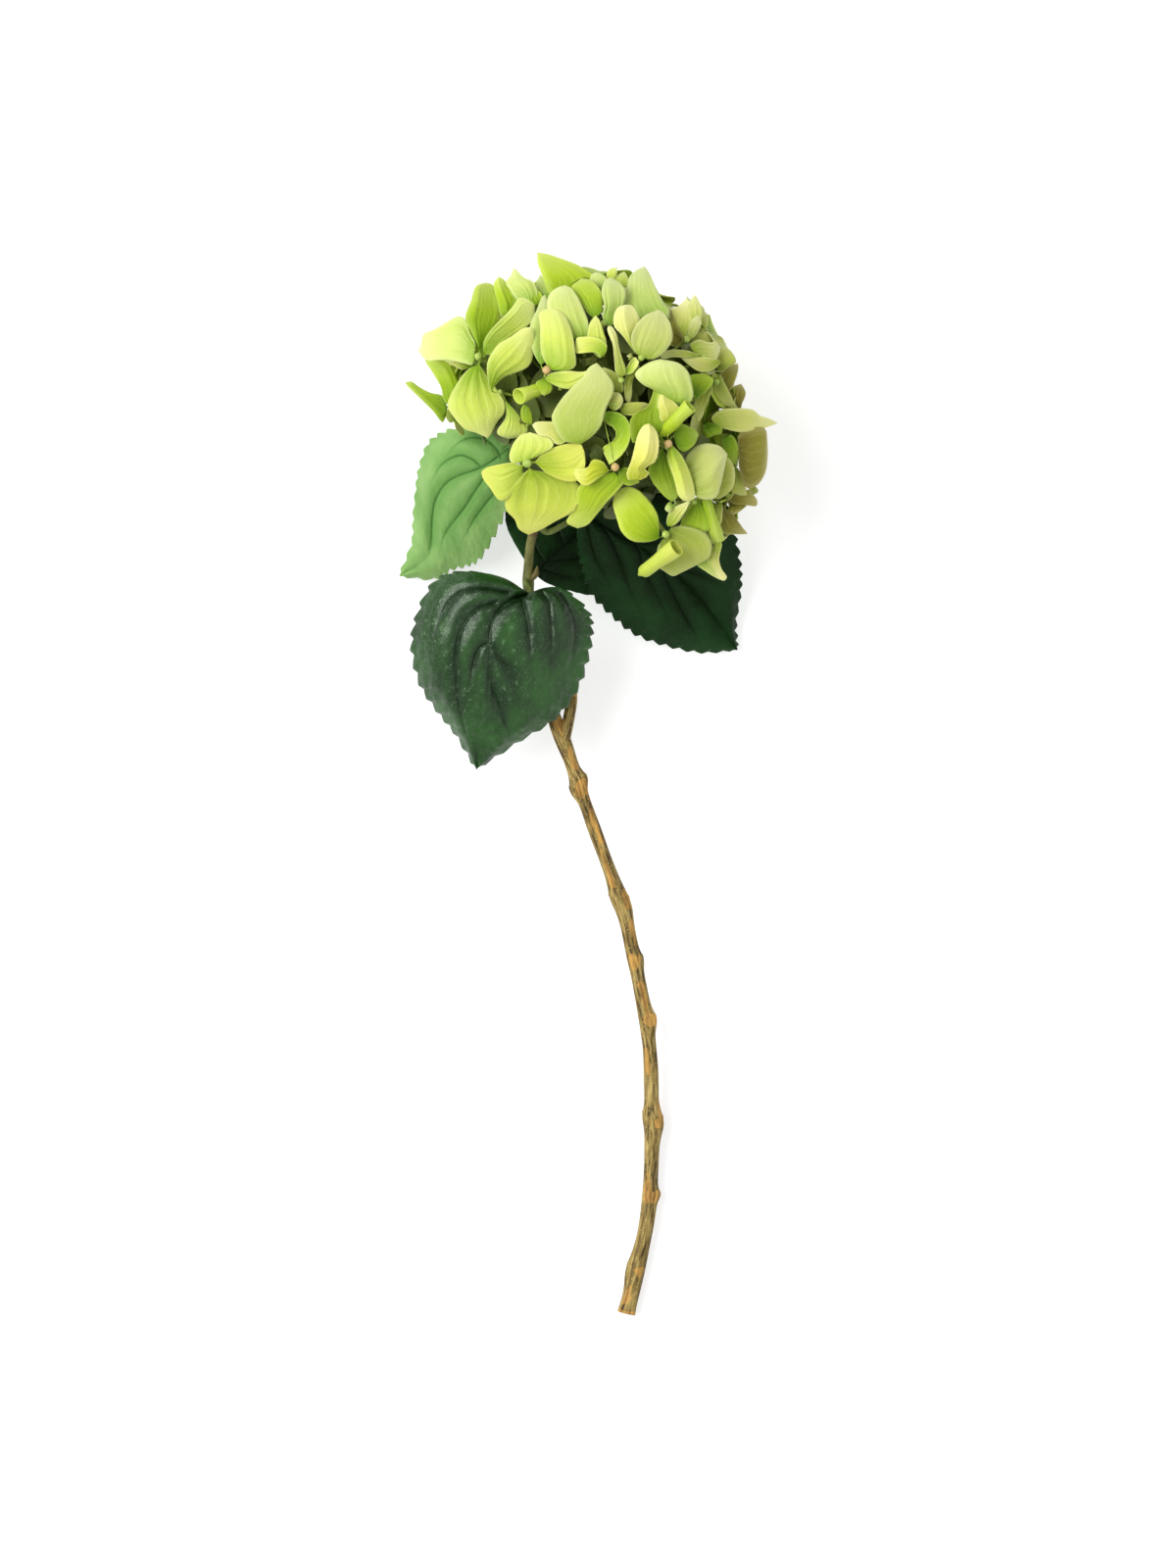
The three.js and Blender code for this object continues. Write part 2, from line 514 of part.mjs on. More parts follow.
// Directions of the spiral florets that have room among those that show, the pressed ones, the
// stalk and the leaves.
function spiralDirections(taken) {
  const found = [];
  for (let i = 0; i < SPIRAL_FLORETS; i++) {
    const height = 1 - (2 * (i + 0.5)) / SPIRAL_FLORETS;
    const turn = i * Math.PI * (3 - Math.sqrt(5));
    const level = Math.sqrt(1 - height ** 2);
    const direction = new THREE.Vector3(level * Math.cos(turn), level * Math.sin(turn), height);
    const eye = BLOOM_MIDDLE.clone().addScaledVector(direction, FLORET_RADIUS);
    const clear = taken.every((point) => point.distanceTo(eye) > SPIRAL_SPACING);
    const outside = OPEN_CONES.every(([x, y, z, angle]) => {
      return direction.angleTo(vector([x, y, z])) > radians(angle);
    });
    if (clear && outside) found.push(direction);
  }
  return found;
}

// A floret that lies face down on the surface, with the ends of its sepals turned up off it.
function pressedFloret([x, y], i) {
  const lying = SEPAL_THICKNESS / 2;
  const eye = new THREE.Vector3(x, y, lying);
  const sepals = [0, 90, 180, 270].map((angle) => {
    const way = radians(angle + 30 * i + 20);
    const run = new THREE.Vector3(Math.cos(way), Math.sin(way), 0).multiplyScalar(PRESSED_LENGTH);
    const tip = eye.clone().add(run).addScaledVector(UP, PRESSED_RISE);
    return { tip, width: SEPAL_WIDTH, bow: PRESSED_RISE / 2, cup: -8 };
  });
  return { eye, facing: new THREE.Vector3(0, 0, -1), sepals, floor: lying, rows: [0.16, 0.6, 1] };
}

function bloom(stalkSeat, leafSeats, leafPoints) {
  const shown = SHOWN_FLORETS.map(shownFloret);
  const pressed = PRESSED_FLORETS.map(pressedFloret);
  const taken = [...shown, ...pressed].map(({ eye }) => eye);
  const spiral = spiralDirections([...taken, ...leafPoints]).map(spiralFloret);
  const core = new THREE.IcosahedronGeometry(CORE_RADIUS, 1);
  core.translate(...BLOOM_MIDDLE);
  const fused = wasm.Manifold.union([solidOf(core), ...[...shown, ...spiral, ...pressed].map(floret)]);
  const seats = wasm.Manifold.union([stalkSeat, ...leafSeats]);
  return largestBody(fused.trimByPlane([0, 0, 1], 0).subtract(seats));
}

// ---------------------------------------------------------------- the flower

const finish = (color, roughness) => new THREE.MeshStandardMaterial({ color, roughness, metalness: 0 });
const BARK = finish("#8a7a3c", 0.75);
const GREEN_STEM = finish("#6f7d33", 0.6);
const GLOSSY_LEAF = finish("#2c6a2e", 0.35);
const PALE_LEAF = finish("#5f9a4c", 0.45);
const SEPAL = finish("#b9d04a", 0.55);

const flower = new THREE.Group();

function place(name, solid, material) {
  const { vertProperties, triVerts } = solid.getMesh();
  const geometry = new THREE.BufferGeometry();
  geometry.setAttribute("position", new THREE.BufferAttribute(vertProperties, 3));
  geometry.setIndex(new THREE.BufferAttribute(triVerts, 1));
  geometry.computeVertexNormals();
  const mesh = new THREE.Mesh(geometry, material);
  mesh.name = name;
  flower.add(mesh);
}

const stalkSeat = flowerStalk(SEAT_GAP);
const leafPoints = Object.values(LEAVES).flatMap((spec) => {
  const surface = leafSurface(spec);
  return [0, 0.2, 0.4, 0.6].flatMap((u) => [-0.6, 0, 0.6].map((v) => surface(u, v)));
});
place("woody_cane", woodyCane(), BARK);
place("flower_stalk", flowerStalk(), GREEN_STEM);
for (const [name, spec] of Object.entries(LEAVES)) {
  place(name, leaf(spec, stalkSeat), name === "leaf_left" ? PALE_LEAF : GLOSSY_LEAF);
}
const leafSeats = Object.values(LEAVES).map((spec) => leaf(spec, stalkSeat, SEAT_GAP));
place("bloom", bloom(stalkSeat, leafSeats, leafPoints), SEPAL);

const box = new THREE.Box3().setFromObject(flower, true);
const middle = box.getCenter(new THREE.Vector3());
flower.position.set(-middle.x, -middle.y, -box.min.z);

export default flower;
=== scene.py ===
"""A cut hydrangea that lies on a pale surface, seen from straight above.

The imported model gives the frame. Every solid in it is replaced here by finer pieces that follow the
same named sizes: thin veined sepals, their branchlets and eyes, quilted and toothed leaves, a green
stalk and a cane with peeling bark.
"""

import logging
import math
from dataclasses import dataclass, field
from enum import Enum

import bmesh
import bpy
import numpy as np
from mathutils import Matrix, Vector


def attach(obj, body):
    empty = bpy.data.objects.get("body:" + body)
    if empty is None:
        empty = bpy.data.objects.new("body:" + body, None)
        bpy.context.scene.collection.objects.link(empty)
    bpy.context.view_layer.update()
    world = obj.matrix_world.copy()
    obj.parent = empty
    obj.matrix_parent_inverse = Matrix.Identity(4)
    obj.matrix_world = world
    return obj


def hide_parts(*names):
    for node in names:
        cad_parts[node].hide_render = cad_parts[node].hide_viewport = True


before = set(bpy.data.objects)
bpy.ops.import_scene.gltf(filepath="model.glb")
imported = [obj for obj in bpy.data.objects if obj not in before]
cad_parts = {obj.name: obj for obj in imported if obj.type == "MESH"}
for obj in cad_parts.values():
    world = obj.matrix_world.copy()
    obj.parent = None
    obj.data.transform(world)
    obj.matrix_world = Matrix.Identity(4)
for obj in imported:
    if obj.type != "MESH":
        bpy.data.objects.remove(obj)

log = logging.getLogger("hydrangea")
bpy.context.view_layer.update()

# From the spot under the middle of the bloom, where the sizes are measured, to the part's origin, mm.
ORIGIN_SHIFT = np.array([0.526, 174.844, 0.0])
UP = np.array([0.0, 0.0, 1.0])
# The middle of a sheet stays this high, so that its lower side clears the surface, mm.
FLOOR_GAP = 0.3
# Points of one piece that are closer than this become one, m.
WELD_DISTANCE = 1e-5
# Places along a line at which its length is measured.
LENGTH_STEPS = 1200

Points = np.ndarray


# ---------------------------------------------------------------- small helpers


def unit(v: Points) -> Points:
    """A vector, or each row of an array of them, at length 1."""
    return v / np.maximum(np.linalg.norm(v, axis=-1, keepdims=True), 1e-9)


def chance(*key: float) -> float:
    """A repeatable number from 0 to 1 for a key of numbers, by the usual sine hash."""
    mixed = sum(k * w for k, w in zip(key, (12.9898, 78.233, 37.719, 11.135)))
    return math.modf(abs(math.sin(mixed + 1.7) * 43758.5453))[0]


def smooth(low: float, high: float, x: Points) -> Points:
    """0 below low, 1 above high, and a smooth step between them."""
    t = np.clip((x - low) / (high - low), 0, 1)
    return t * t * (3 - 2 * t)


class Line:
    """A smooth line through points, even in its points and not in length.

    Args:
        points: the points it passes through, mm.
    """

    def __init__(self, points: list) -> None:
        """Keeps the points, with one more beyond each end."""
        p = np.array(points, float)
        self.points = np.vstack([2 * p[0] - p[1], p, 2 * p[-1] - p[-2]])
        self.count = len(p)

    def at(self, u: Points) -> Points:
        """Points by place along the line.

        Args:
            u: places, from 0 to 1.

        Returns:
            The points, mm.
        """
        place = np.clip(np.asarray(u, float), 0, 1) * (self.count - 1)
        i = np.minimum(place.astype(int), self.count - 2)
        w = (place - i)[..., None]
        a, b, c, d = (self.points[i + k] for k in range(4))
        square, cube = 2 * a - 5 * b + 4 * c - d, 3 * b - a - 3 * c + d
        return 0.5 * (2 * b + (c - a) * w + square * w**2 + cube * w**3)

    def even(self, shares: Points) -> tuple[Points, Points]:
        """Points by length along the line.

        Args:
            shares: places as shares of the length, from 0 to 1.

        Returns:
            The points, and their distances from the start, mm.
        """
        fine = self.at(np.linspace(0, 1, LENGTH_STEPS))
        run = np.concatenate([[0], np.cumsum(np.linalg.norm(np.diff(fine, axis=0), axis=1))])
        want = np.asarray(shares, float) * run[-1]
        return np.stack([np.interp(want, run, fine[:, k]) for k in range(fine.shape[1])], -1), want


class Skin:
    """Gathers grids of points into one mesh object, with two values of each point for the finishes:
    its place on the piece, and where it would lie if the piece were flat or straight, mm."""

    def __init__(self) -> None:
        """Starts with no points."""
        self.points: list[Points] = []
        self.faces: list[Points] = []
        self.values: dict[str, list[Points]] = {"place": [], "flat": []}
        self.size = 0

    def add(self, grid: Points, place: Points, flat: Points, rod: bool = False) -> None:
        """Adds a grid of points.

        Args:
            grid: rows by columns by 3, mm, measured from the spot under the bloom.
            place: the first value, for all points or rows by columns by 3.
            flat: the second value, rows by columns by 3.
            rod: whether the last column joins the first and a fan closes each end.
        """
        rows, columns = grid.shape[:2]
        index = np.arange(rows * columns).reshape(rows, columns) + self.size
        right = np.roll(index, -1, axis=1) if rod else index[:, 1:]
        left = index if rod else index[:, :-1]
        quads = np.stack([left[:-1], right[:-1], right[1:], left[1:]], -1).reshape(-1, 4)
        self.faces.append(quads)
        listed = grid.reshape(-1, 3)
        if rod:
            listed = np.vstack([listed, grid[0].mean(0), grid[-1].mean(0)])
            first, last = self.size + rows * columns, self.size + rows * columns + 1
            top, bottom = index[0], index[-1]
            for one, other, middle in ((np.roll(top, -1), top, first), (bottom, np.roll(bottom, -1), last)):
                # The -1 stands for no fourth corner.
                self.faces.append(np.stack([one, other, np.full(columns, middle), np.full(columns, -1)], 1))
        self.points.append(listed)
        for name, given in (("place", place), ("flat", flat)):
            value = np.broadcast_to(given, (rows, columns, 3))
            ends = [value[0].mean(0), value[-1].mean(0)] if rod else []
            self.values[name].append(np.vstack([value.reshape(-1, 3), *ends]))
        self.size += len(listed)

    def add_rod(
        self, line: Points, distance: Points, radius: Points, sides: int, place: Points, offset: float = 0.0
    ) -> None:
        """Adds a rod.

        Args:
            line: points along its middle, n by 3, mm.
            distance: of each point along the rod, mm.
            radius: n, or n by sides, mm.
            sides: points in a ring.
            place: the first value, for all points or n by sides by 3.
            offset: shifts the pattern on the rod, mm, so that two rods differ.
        """
        level = radius.mean(1) if np.ndim(radius) == 2 else radius
        self.add(tube(line, radius, sides), place, straightened(distance, level, sides, offset), rod=True)

    def piece(
        self,
        name: str,
        finish: "Finish",
        node: str,
        slot: str,
        thickness: float = 0.0,
        underside: "Finish | None" = None,
    ) -> None:
        """Makes the mesh object, which rides with the part and stands for one of its solids.

        Args:
            name: the object's name.
            finish: its surface.
            node: the solid that it stands for.
            slot: the record's material slot; not used.
            thickness: of a sheet, mm. 0 for closed rods, whose faces are turned to look outwards.
            underside: the surface of a sheet's lower side, where it differs.
        """
        points = (np.vstack(self.points) + ORIGIN_SHIFT) / 1000
        # Nothing passes below the surface that the part lies on.
        points[:, 2] = np.maximum(points[:, 2], FLOOR_GAP / 1000 if thickness else 0.0)
        mesh = bpy.data.meshes.new(name)
        faces = np.vstack(self.faces)
        mesh.from_pydata(points.tolist(), [], [[i for i in f if i >= 0] for f in faces.tolist()])
        for value, kept in self.values.items():
            layer = mesh.attributes.new(value, "FLOAT_VECTOR", "POINT")
            layer.data.foreach_set("vector", np.vstack(kept).astype(np.float32).ravel())
        work = bmesh.new()
        work.from_mesh(mesh)
        bmesh.ops.remove_doubles(work, verts=work.verts, dist=WELD_DISTANCE)
        if not thickness:
            bmesh.ops.recalc_face_normals(work, faces=work.faces)
        work.to_mesh(mesh)
        work.free()
        mesh.shade_smooth()
        made = bpy.data.objects.new(name, mesh)
        bpy.context.scene.collection.objects.link(made)
        mesh.materials.append(finish.material())
        if thickness:
            solid = made.modifiers.new("thickness", "SOLIDIFY")
            solid.thickness = thickness / 1000
            solid.offset = 0
            if underside:
                mesh.materials.append(underside.material())
                solid.material_offset = 1
        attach(made, "root")
        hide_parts(node)
        log.info("%s: %d points", name, len(mesh.vertices))


def ring_angles(sides: int) -> Points:
    """The angles of a ring's points, radians. 0 is the upper side and a quarter turn is the right."""
    return -np.linspace(0, 2 * math.pi, sides, endpoint=False)


def tube(line: Points, radius: Points, sides: int) -> Points:
    """A grid of rings round a line.

    Args:
        line: points along the middle, n by 3, mm.
        radius: n, or n by sides, mm.
        sides: points in a ring, in the order of ring_angles.

    Returns:
        The grid, n by sides by 3.
    """
    tangent = unit(np.gradient(line, axis=0))
    guide = np.where(np.abs(tangent[:, 2:3]) > 0.95, np.array([[1.0, 0, 0]]), UP[None])
    upward = unit(guide - tangent * np.sum(guide * tangent, 1, keepdims=True))
    across = np.cross(tangent, upward)
    angle = ring_angles(sides)
    ring = np.cos(angle)[None, :, None] * upward[:, None] - np.sin(angle)[None, :, None] * across[:, None]
    radius = np.broadcast_to(radius if np.ndim(radius) == 2 else np.asarray(radius)[:, None], ring.shape[:2])
    return line[:, None] + ring * radius[..., None]


def straightened(distance: Points, radius: Points, sides: int, offset: float) -> Points:
    """Where each point of a rod would be if the rod were straight, so that its grain follows it.

    Args:
        distance: of each ring along the rod, mm.
        radius: of each ring, mm.
        sides: points in a ring.
        offset: shifts the whole pattern, mm, so that two rods differ.

    Returns:
        Rings by sides by 3, mm.
    """
    angle = ring_angles(sides)
    made = np.zeros((len(distance), sides, 3))
    made[..., 0] = np.cos(angle) * np.asarray(radius)[:, None] + offset
    made[..., 1] = np.sin(angle) * np.asarray(radius)[:, None]
    made[..., 2] = distance[:, None]
    return made


def linear(hex_colour: str) -> tuple[float, float, float, float]:
    """An sRGB hex colour as linear light.

    Args:
        hex_colour: such as "#8DB81C".

    Returns:
        Red, green, blue and an alpha of 1.
    """
    channels = [int(hex_colour[i : i + 2], 16) / 255 for i in (1, 3, 5)]
    made = [c / 12.92 if c <= 0.04045 else ((c + 0.055) / 1.055) ** 2.4 for c in channels]
    return (*made, 1.0)


def add_node(tree: bpy.types.NodeTree, kind: str, inputs: dict | None = None, **settings) -> bpy.types.Node:
    """Adds a node to a tree.

    Args:
        tree: the material's node tree.
        kind: the node's type name.
        inputs: for each input's name or number, a value or the output that feeds it.
        **settings: the node's own properties. stops gives a colour ramp's (place, colour) pairs.

    Returns:
        The node.
    """
    made = tree.nodes.new(kind)
    for i, (place, colour) in enumerate(settings.pop("stops", [])):
        ramp = made.color_ramp.elements
        stop = ramp[i] if i < len(ramp) else ramp.new(place)
        stop.position, stop.color = place, colour
    for key, value in settings.items():
        setattr(made, key, value)
    for key, value in (inputs or {}).items():
        if isinstance(value, bpy.types.NodeSocket):
            tree.links.new(value, made.inputs[key])
        else:
            made.inputs[key].default_value = value
    return made


# ---------------------------------------------------------------- finishes


@dataclass(frozen=True)
class Finish:
    """A surface. Each kind below fills in its nodes.

    Args:
        name: the material's name.
    """

    name: str

    def material(self) -> bpy.types.Material:
        """The finish as a material, made once."""
        if self.name in bpy.data.materials:
            return bpy.data.materials[self.name]
        made = bpy.data.materials.new(self.name)
        made.use_nodes = True
        made.node_tree.nodes.clear()
        shader = self.shade(made.node_tree)
        add_node(made.node_tree, "ShaderNodeOutputMaterial", {"Surface": shader})
        return made

    def shade(self, tree: bpy.types.NodeTree) -> bpy.types.NodeSocket:
        """Builds the nodes.

        Args:
            tree: the material's node tree.

        Returns:
            The shader's output.
        """
        raise NotImplementedError


@dataclass(frozen=True)
class SepalTissue(Finish):
    """Thin, waxy, slightly see-through sepal tissue: a greener claw, darker still as painted shade where
    sepals dip among their neighbours, a pale rim that is a painted edge highlight, and veins that fan
    out from the claw and stand up a little, with a fine net between them."""

    claw: str
    middle: str
    rim: str
    vein: str
    glow: float = 0.22
    roughness: float = 0.46

    def shade(self, tree: bpy.types.NodeTree) -> bpy.types.NodeSocket:
        """Builds the nodes.

        Args:
            tree: the material's node tree.

        Returns:
            The shader's output.
        """
        place = add_node(tree, "ShaderNodeAttribute", attribute_name="place").outputs["Vector"]
        cell = add_node(tree, "ShaderNodeAttribute", attribute_name="flat").outputs["Vector"]
        part = add_node(tree, "ShaderNodeSeparateXYZ", {0: place})
        along, across, seed = part.outputs[0], part.outputs[1], part.outputs[2]
        # Clouds of tint 9 mm across, and a net of veins 2.4 mm wide, coarser than real so that it shows.
        cloud = add_node(
            tree, "ShaderNodeTexNoise", {"Vector": cell, "Scale": 0.11, "Detail": 3.0}
        ).outputs[0]
        wander = add_node(
            tree, "ShaderNodeTexNoise", {"Vector": cell, "Scale": 0.3, "Detail": 2.0}
        ).outputs[0]
        # Veins run from claw to rim, so across is even between them; the noise makes them wander.
        sway = add_node(tree, "ShaderNodeMath", {0: wander, 1: 0.9}, operation="MULTIPLY").outputs[0]
        lanes = add_node(
            tree, "ShaderNodeMath", {0: across, 1: 3.6, 2: sway}, operation="MULTIPLY_ADD"
        ).outputs[0]
        fold = add_node(tree, "ShaderNodeMath", {0: lanes, 1: 0.5}, operation="PINGPONG").outputs[0]
        ribs = add_node(tree, "ShaderNodeMapRange", {0: fold, 1: 0.0, 2: 0.13, 3: 1.0, 4: 0.0}).outputs[0]
        net = add_node(
            tree, "ShaderNodeTexVoronoi", {"Vector": cell, "Scale": 0.42}, feature="DISTANCE_TO_EDGE"
        ).outputs["Distance"]
        net = add_node(tree, "ShaderNodeMapRange", {0: net, 1: 0.0, 2: 0.14, 3: 1.0, 4: 0.0}).outputs[0]
        # Greener towards the claw, as real sepals are, and darker there as painted shade where they dip among
        # their neighbours.
        reach = add_node(
            tree, "ShaderNodeMath", {0: cloud, 1: 0.34, 2: -0.17}, operation="MULTIPLY_ADD"
        ).outputs[0]
        reach = add_node(tree, "ShaderNodeMath", {0: along, 1: reach}, operation="ADD").outputs[0]
        body = add_node(
            tree,
            "ShaderNodeValToRGB",
            {0: reach},
            stops=[(0.06, linear(self.claw)), (1.0, linear(self.rim)), (0.52, linear(self.middle))],
        ).outputs[0]
        # Painted edge highlight: the colour turns paler towards the side edges.
        side = add_node(tree, "ShaderNodeMath", {0: across}, operation="ABSOLUTE").outputs[0]
        rim = add_node(tree, "ShaderNodeMapRange", {0: side, 1: 0.72, 2: 1.0, 3: 0.0, 4: 0.55}).outputs[0]
        body = add_node(
            tree, "ShaderNodeMix", {0: rim, 6: body, 7: linear(self.rim)}, data_type="RGBA"
        ).outputs[2]
        relief = add_node(
            tree, "ShaderNodeMath", {0: net, 1: 0.3, 2: ribs}, operation="MULTIPLY_ADD"
        ).outputs[0]
        marks = add_node(
            tree, "ShaderNodeMath", {0: relief, 1: 0.32}, operation="MULTIPLY", use_clamp=True
        ).outputs[0]
        body = add_node(
            tree, "ShaderNodeMix", {0: marks, 6: body, 7: linear(self.vein)}, data_type="RGBA"
        ).outputs[2]
        value = add_node(tree, "ShaderNodeMapRange", {0: seed, 3: 0.93, 4: 1.08}).outputs[0]
        hue = add_node(tree, "ShaderNodeMapRange", {0: seed, 3: 0.503, 4: 0.49}).outputs[0]
        body = add_node(
            tree, "ShaderNodeHueSaturation", {"Hue": hue, "Saturation": 1.0, "Value": value, "Color": body}
        ).outputs[0]
        bump = add_node(
            tree, "ShaderNodeBump", {"Strength": 0.28, "Distance": 0.0005, "Height": relief}
        ).outputs[0]
        skin = add_node(
            tree,
            "ShaderNodeBsdfPrincipled",
            {"Base Color": body, "Roughness": self.roughness, "IOR": 1.4, "Normal": bump,
             "Specular IOR Level": 0.35},
        ).outputs[0]
        through = add_node(
            tree, "ShaderNodeHueSaturation", {"Saturation": 1.15, "Value": 1.0, "Color": body}
        ).outputs[0]
        light = add_node(tree, "ShaderNodeBsdfTranslucent", {"Color": through, "Normal": bump}).outputs[0]
        return add_node(tree, "ShaderNodeMixShader", {0: self.glow, 1: skin, 2: light}).outputs[0]


@dataclass(frozen=True)
class LeafCuticle(Finish):
    """The waxy skin of a leaf: a glossy blade, blistered between sunken veins, in clouds of darker and
    lighter tone. Painted shade darkens the creases along the veins, and on upper sides the veins too.
    """

    blade: str = "#27591B"
    # The second and third colours are painted shade, in the creases and along the veins.
    crease_shade_and_tone: str = "#0D2A0A"
    vein: str = "#0B2407"
    roughness: float = 0.27
    gloss: float = 0.4
    specular: float = 0.7
    sheen: str = "#C4E6BC"
    glow: float = 0.06
    blister: float = 0.95

    def shade(self, tree: bpy.types.NodeTree) -> bpy.types.NodeSocket:
        """Builds the nodes.

        Args:
            tree: the material's node tree.

        Returns:
            The shader's output.
        """
        place = add_node(tree, "ShaderNodeAttribute", attribute_name="place").outputs["Vector"]
        cell = add_node(tree, "ShaderNodeAttribute", attribute_name="flat").outputs["Vector"]
        part = add_node(tree, "ShaderNodeSeparateXYZ", {0: place})
        # The second value, height here, is 1 less the depth of the crease, which the painted shade follows.
        ribs, height = part.outputs[0], part.outputs[1]
        # Blisters about 4 mm across, and the finest net of veins 1 mm wide.
        blister = add_node(
            tree,
            "ShaderNodeTexVoronoi",
            {"Vector": cell, "Scale": 0.26, "Smoothness": 0.9},
            feature="SMOOTH_F1",
        ).outputs["Distance"]
        net = add_node(
            tree, "ShaderNodeTexVoronoi", {"Vector": cell, "Scale": 0.95}, feature="DISTANCE_TO_EDGE"
        ).outputs["Distance"]
        net = add_node(tree, "ShaderNodeMapRange", {0: net, 1: 0.0, 2: 0.12, 3: 1.0, 4: 0.0}).outputs[0]
        cloud = add_node(
            tree, "ShaderNodeTexNoise", {"Vector": cell, "Scale": 0.06, "Detail": 4.0}
        ).outputs[0]
        # Painted shade: the colour runs to the second one where the crease is deep, and also where the clouds
        # of tone are dark, which is the leaf's own.
        crease_shade_and_cloud = add_node(tree, "ShaderNodeMath", {0: height, 1: cloud}, operation="MULTIPLY").outputs[0]
        body = add_node(
            tree,
            "ShaderNodeValToRGB",
            {0: crease_shade_and_cloud},
            stops=[(0.25, linear(self.crease_shade_and_tone)), (0.66, linear(self.blade))],
        ).outputs[0]
        # The vein colour: on upper sides a darker green, painted shade along the creases; on the underside a
        # paler green of its own.
        marks = add_node(
            tree, "ShaderNodeMath", {0: net, 1: 0.12, 2: ribs}, operation="MULTIPLY_ADD"
        ).outputs[0]
        marks = add_node(
            tree, "ShaderNodeMath", {0: marks, 1: 0.85}, operation="MULTIPLY", use_clamp=True
        ).outputs[0]
        body = add_node(
            tree, "ShaderNodeMix", {0: marks, 6: body, 7: linear(self.vein)}, data_type="RGBA"
        ).outputs[2]
        down = add_node(tree, "ShaderNodeMath", {0: net, 1: -0.07}, operation="MULTIPLY").outputs[0]
        relief = add_node(
            tree, "ShaderNodeMath", {0: blister, 1: -self.blister, 2: down}, operation="MULTIPLY_ADD"
        )
        bump = add_node(
            tree, "ShaderNodeBump", {"Strength": 0.9, "Distance": 0.0018, "Height": relief.outputs[0]}
        ).outputs[0]
        rough = add_node(
            tree, "ShaderNodeMapRange", {0: cloud, 3: self.roughness - 0.07, 4: self.roughness + 0.1}
        )
        skin = add_node(
            tree,
            "ShaderNodeBsdfPrincipled",
            {"Base Color": body, "Roughness": rough.outputs[0], "IOR": 1.45, "Normal": bump,
             "Specular IOR Level": self.specular, "Specular Tint": linear(self.sheen),
             "Coat Weight": self.gloss, "Coat Roughness": 0.24},
        ).outputs[0]
        light = add_node(tree, "ShaderNodeBsdfTranslucent", {"Color": body}).outputs[0]
        return add_node(tree, "ShaderNodeMixShader", {0: self.glow, 1: skin, 2: light}).outputs[0]


@dataclass(frozen=True)
class GreenBark(Finish):
    """The smooth skin of young growth: one green that shifts along it, fine pores and warm joints."""

    skin: str
    shade_side: str
    joint: str
    roughness: float = 0.5

    def shade(self, tree: bpy.types.NodeTree) -> bpy.types.NodeSocket:
        """Builds the nodes.

        Args:
            tree: the material's node tree.

        Returns:
            The shader's output.
        """
        place = add_node(tree, "ShaderNodeAttribute", attribute_name="place").outputs["Vector"]
        cell = add_node(tree, "ShaderNodeAttribute", attribute_name="flat").outputs["Vector"]
        joint = add_node(tree, "ShaderNodeSeparateXYZ", {0: place}).outputs[0]
        # Clouds of tint 4 mm across, and pores 0.7 mm.
        cloud = add_node(
            tree, "ShaderNodeTexNoise", {"Vector": cell, "Scale": 0.25, "Detail": 4.0}
        ).outputs[0]
        pores = add_node(tree, "ShaderNodeTexNoise", {"Vector": cell, "Scale": 1.4, "Detail": 2.0}).outputs[0]
        body = add_node(
            tree,
            "ShaderNodeValToRGB",
            {0: cloud},
            stops=[(0.3, linear(self.shade_side)), (0.65, linear(self.skin))],
        ).outputs[0]
        body = add_node(
            tree, "ShaderNodeMix", {0: joint, 6: body, 7: linear(self.joint)}, data_type="RGBA"
        ).outputs[2]
        bump = add_node(
            tree, "ShaderNodeBump", {"Strength": 0.4, "Distance": 0.0003, "Height": pores}
        ).outputs[0]
        return add_node(
            tree,
            "ShaderNodeBsdfPrincipled",
            {"Base Color": body, "Roughness": self.roughness, "IOR": 1.42, "Normal": bump,
             "Specular IOR Level": 0.4},
        ).outputs[0]


